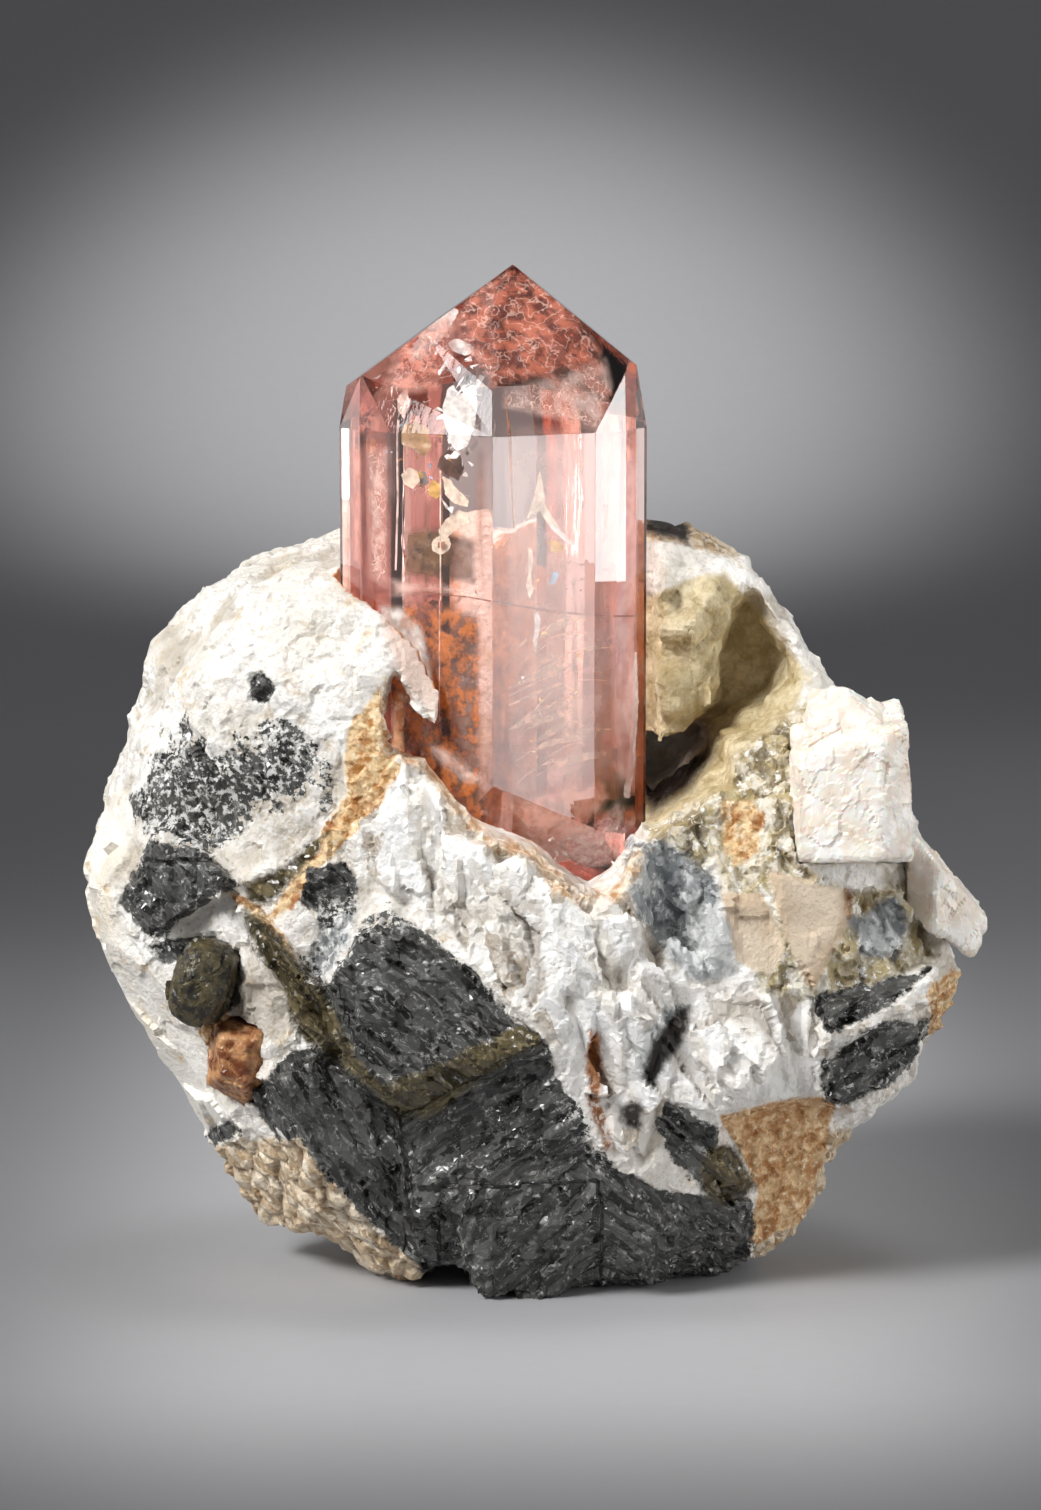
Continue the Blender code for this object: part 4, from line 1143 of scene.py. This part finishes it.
def make_inclusions():
    """One piece each for the layers of a look, the breaks of a tint and the lines of a tint."""
    for look, values in VEIL_LOOKS.items():
        sheets = [
            sheet(outline, face, depth, cuts=4, wave=0.12, fade=0.7)
            for face, depth, own, outline in VEILS.values() if own == look
        ]
        inside_piece(f"{look}_layer", sheets, veil_material(f"{look}_veil", *values))
    for tint, colour in TINTS.items():
        sheets = [
            sheet(outline, face, depth, cuts=3, wave=0.15, fade=0.12)
            for face, depth, own, outline in BREAKS.values() if own == tint
        ]
        if sheets:
            inside_piece(f"{tint}_breaks", sheets, glint_material(f"{tint}_break", colour))
        sheets = [
            sheet(ribbon(course, width), face, depth, cuts=1, wave=0.0, fade=0.7)
            for face, depth, own, width, course in LINES.values() if own == tint
        ]
        if sheets:
            inside_piece(f"{tint}_lines", sheets, line_material(f"{tint}_line", colour, LINE_COVER))


def ribbon(course, width):
    """The outline of a line of this width in pixels."""
    points = np.array(course, float)
    along = np.gradient(points, axis=0)
    across = np.stack([-along[:, 1], along[:, 0]], axis=1)
    across *= 0.5 * width / np.linalg.norm(across, axis=1, keepdims=True)
    return [tuple(point) for point in (*(points + across), *(points - across)[::-1])]


FLAKE_SEED, FLAKE_DEPTHS, FLAKE_CORNERS, FLAKE_SIZES = 8, (1.2, 3.4), (3, 6), (0.3, 1.0)


def make_flakes():
    """Small angular flakes strewn about the middles of their clusters."""
    draw = np.random.default_rng(FLAKE_SEED)
    for tint, clusters in FLAKES.items():
        corners, faces = [], []
        for face, column, row, wide, tall, count, size in clusters:
            for _ in range(count):
                pixel = (column + wide * draw.normal(), row + tall * draw.normal())
                middle = Vector(seen_on([pixel], *inward(face, draw.uniform(*FLAKE_DEPTHS)))[0])
                across = Vector((draw.normal(), draw.normal() * 0.6, draw.normal())).normalized()
                along = across.cross(Vector((draw.normal() * 0.5, -1.0, draw.normal() * 0.5))).normalized()
                sides = int(draw.integers(*FLAKE_CORNERS))
                reach = size * draw.uniform(*FLAKE_SIZES)
                faces.append(np.arange(len(corners), len(corners) + sides))
                for turn in np.sort(draw.uniform(0.0, 2.0 * math.pi, sides)):
                    turned = across * math.cos(turn) * 0.5 + along * math.sin(turn)
                    corners.append(middle + reach * turned)
        flakes = (kept_inside(np.array(corners)), faces, np.ones(len(corners)))
        inside_piece(f"{tint}_flakes", [flakes], line_material(f"{tint}_flake", TINTS[tint], FLAKE_COVER))


# Fine healed cracks behind the topaz's right face: the rows that they start at, how far they bend up, the
# columns that they run between, how much those are shifted at each end, and how crooked they are
HATCH_ROWS, HATCH_RISE, HATCH_EDGES = range(640, 790, 8), 26, (500, 606)
HATCH_SHIFTS, HATCH_WOBBLE = (30, 50), 0.8
HATCH_SEED, HATCH_POINTS, HATCH_TURN = 4, 9, 1.9
HATCH_TINT, HATCH_WIDTH, HATCH_DEPTH, HATCH_COVER = (230, 190, 164), 0.8, (1.0, 2.4), 0.6


def make_hatch():
    """A fan of fine curved cracks."""
    draw = np.random.default_rng(HATCH_SEED)
    steps = np.linspace(0.0, 1.0, HATCH_POINTS)
    sheets = []
    for row in HATCH_ROWS:
        start = HATCH_EDGES[0] + draw.uniform(0, HATCH_SHIFTS[0])
        end = HATCH_EDGES[1] - draw.uniform(0, HATCH_SHIFTS[1])
        rows = row - HATCH_RISE * np.sin(HATCH_TURN * steps) + draw.normal(0.0, HATCH_WOBBLE, HATCH_POINTS)
        course = list(zip(start + (end - start) * steps, rows))
        depth = draw.uniform(*HATCH_DEPTH)
        sheets.append(sheet(ribbon(course, HATCH_WIDTH), "right", depth, cuts=0, wave=0.0, fade=0.7))
    inside_piece("fine_cracks", sheets, line_material("fine_crack", HATCH_TINT, HATCH_COVER))


# Stage, light and camera


# Painted shade: the stage's pale grey falls to darker greys beside the specimen and close to the view
STAGE_GREY, SIDE_SHADE_GREY, NEAR_SHADE_GREY = (178, 178, 180), (126, 126, 128), (70, 70, 72)
# In millimetres, for the painted shade: how far to the sides it darkens, how far back that ends, and how
# near it darkens too
STAGE_SIDES, STAGE_FAR, STAGE_NEAR = (14.0, 44.0), (120.0, 260.0), (-66.0, -32.0)
# In metres: half its width, where it starts and ends, how high it is and the radius of its bend
STAGE_WIDTH, STAGE_FRONT, STAGE_BACK, STAGE_HEIGHT, STAGE_BEND = 0.9, -0.6, 0.55, 0.8, 0.25
BEND_STEPS = 16

# The soft boxes: where each is, what it is aimed at, its width and height, its power in watts and the angle
# of its cone in degrees
SOFT_BOXES = {
    "key": ((-0.24, -0.20, 0.30), (0.0, 0.0, 0.03), (0.18, 0.18), 0.112, 30.0),
    "fill": ((0.165, -0.11, 0.075), (0.0, 0.0, 0.075), (0.09, 0.15), 0.024, 60.0),
    "top": ((0.04, 0.04, 0.34), (0.0, 0.0, 0.03), (0.24, 0.20), 0.03, 32.0),
    "right_strip": ((0.20, 0.012, 0.080), (0.0, 0.0, 0.075), (0.024, 0.108), 0.0222, 100.0),
    "left_strip": ((-0.18, 0.088, 0.09), (0.0, 0.0, 0.09), (0.03, 0.13), 0.007, 100.0),
    "left_panel": ((-0.26, -0.06, 0.10), (0.0, 0.0, 0.06), (0.26, 0.20), 0.055, 110.0),
    "right_panel": ((0.26, 0.06, 0.10), (0.0, 0.0, 0.06), (0.26, 0.20), 0.055, 110.0),
}
GLOW_PLACE, GLOW_TARGET = (0.0, 0.25, 0.35), (-0.008, 0.43, 0.02)
GLOW_POWER, GLOW_CONE, GLOW_RADIUS = 4.4, 30.0, 0.02
ROOM_COLOUR = (0.16, 0.16, 0.165, 1.0)


def stage_material():
    """Pale grey, with painted shade that darkens it to both sides of the specimen and close to the view."""
    s = Shader("stage_grey")
    spot = s.place()
    x, y, _ = s.node("ShaderNodeSeparateXYZ", {0: spot}).outputs
    beside, before = s.between(s.math("ABSOLUTE", x), *STAGE_SIDES), s.between(y, *STAGE_FAR, 1.0, 0.0)
    side = s.math("MULTIPLY", beside, before)
    near = s.between(y, *STAGE_NEAR, 0.65, 0.0)
    speck = s.between(s.noise(spot, 1.5, 2.0), 0.3, 0.7, 0.0, 0.03)
    colour = s.mix(near, s.mix(side, STAGE_GREY, SIDE_SHADE_GREY), NEAR_SHADE_GREY)
    s.set(Base_Color=s.mix(speck, colour, SIDE_SHADE_GREY), Roughness=0.7)
    return s.material


def make_stage():
    """A pale floor that curves up into the backdrop."""
    profile = [(STAGE_FRONT, 0.0)]
    for step in range(BEND_STEPS + 1):
        turn = math.radians(90.0 * step / BEND_STEPS)
        back, up = STAGE_BEND * math.sin(turn), STAGE_BEND * math.cos(turn)
        profile.append((STAGE_BACK - STAGE_BEND + back, STAGE_BEND - up))
    profile.append((STAGE_BACK, STAGE_HEIGHT))
    mesh = bpy.data.meshes.new("stage")
    corners = [(x, y, z) for y, z in profile for x in (-STAGE_WIDTH, STAGE_WIDTH)]
    faces = [(2 * i, 2 * i + 1, 2 * i + 3, 2 * i + 2) for i in range(len(profile) - 1)]
    mesh.from_pydata(corners, [], faces)
    mesh.shade_smooth()
    stage = bpy.data.objects.new("stage", mesh)
    bpy.context.scene.collection.objects.link(stage)
    mesh.materials.append(stage_material())


def aim(thing, target):
    thing.rotation_mode = "QUATERNION"
    thing.rotation_quaternion = (Vector(target) - thing.location).to_track_quat("-Z", "Y")


def make_lamp(name, kind, place, target, power):
    """A lamp aimed at a point: its object, and its light to be set further."""
    light = bpy.data.lights.new(name, kind)
    light.energy = power
    lamp = bpy.data.objects.new(name, light)
    bpy.context.scene.collection.objects.link(lamp)
    lamp.location = place
    aim(lamp, target)
    return lamp, light


def make_lights():
    """Soft boxes behind honeycomb grids, which keep light within a cone, and a pool of light behind."""
    for name, (place, target, size, power, cone) in SOFT_BOXES.items():
        lamp, light = make_lamp(name, "AREA", place, target, power)
        light.shape = "RECTANGLE"
        light.size, light.size_y = size
        light.spread = math.radians(cone)
        lamp.visible_camera = False
    _, glow = make_lamp("glow", "SPOT", GLOW_PLACE, GLOW_TARGET, GLOW_POWER)
    glow.spot_size = math.radians(GLOW_CONE)
    glow.spot_blend = 1.0
    glow.shadow_soft_size = GLOW_RADIUS
    world = bpy.data.worlds.new("studio")
    bpy.context.scene.world = world
    world.use_nodes = True
    world.node_tree.nodes["Background"].inputs["Color"].default_value = ROOM_COLOUR
    world.node_tree.nodes["Background"].inputs["Strength"].default_value = 1.0


def make_camera():
    camera = bpy.data.objects.new("camera", bpy.data.cameras.new("camera"))
    bpy.context.scene.collection.objects.link(camera)
    lift = math.radians(CAMERA_ELEVATION)
    target = Vector(CAMERA_TARGET) * MM
    camera.location = target + Vector((0.0, -math.cos(lift), math.sin(lift))) * CAMERA_DISTANCE * MM
    aim(camera, target)
    camera.data.lens = CAMERA_LENS
    camera.data.sensor_width = CAMERA_SENSOR
    camera.data.clip_start = CAMERA_NEAREST * MM
    bpy.context.scene.camera = camera


def main():
    bpy.context.scene.view_settings.view_transform = "Standard"
    make_camera()
    make_stage()
    make_lights()
    dress_topaz()
    make_inclusions()
    make_flakes()
    make_hatch()
    make_rock()
    dress_crystals()


main()
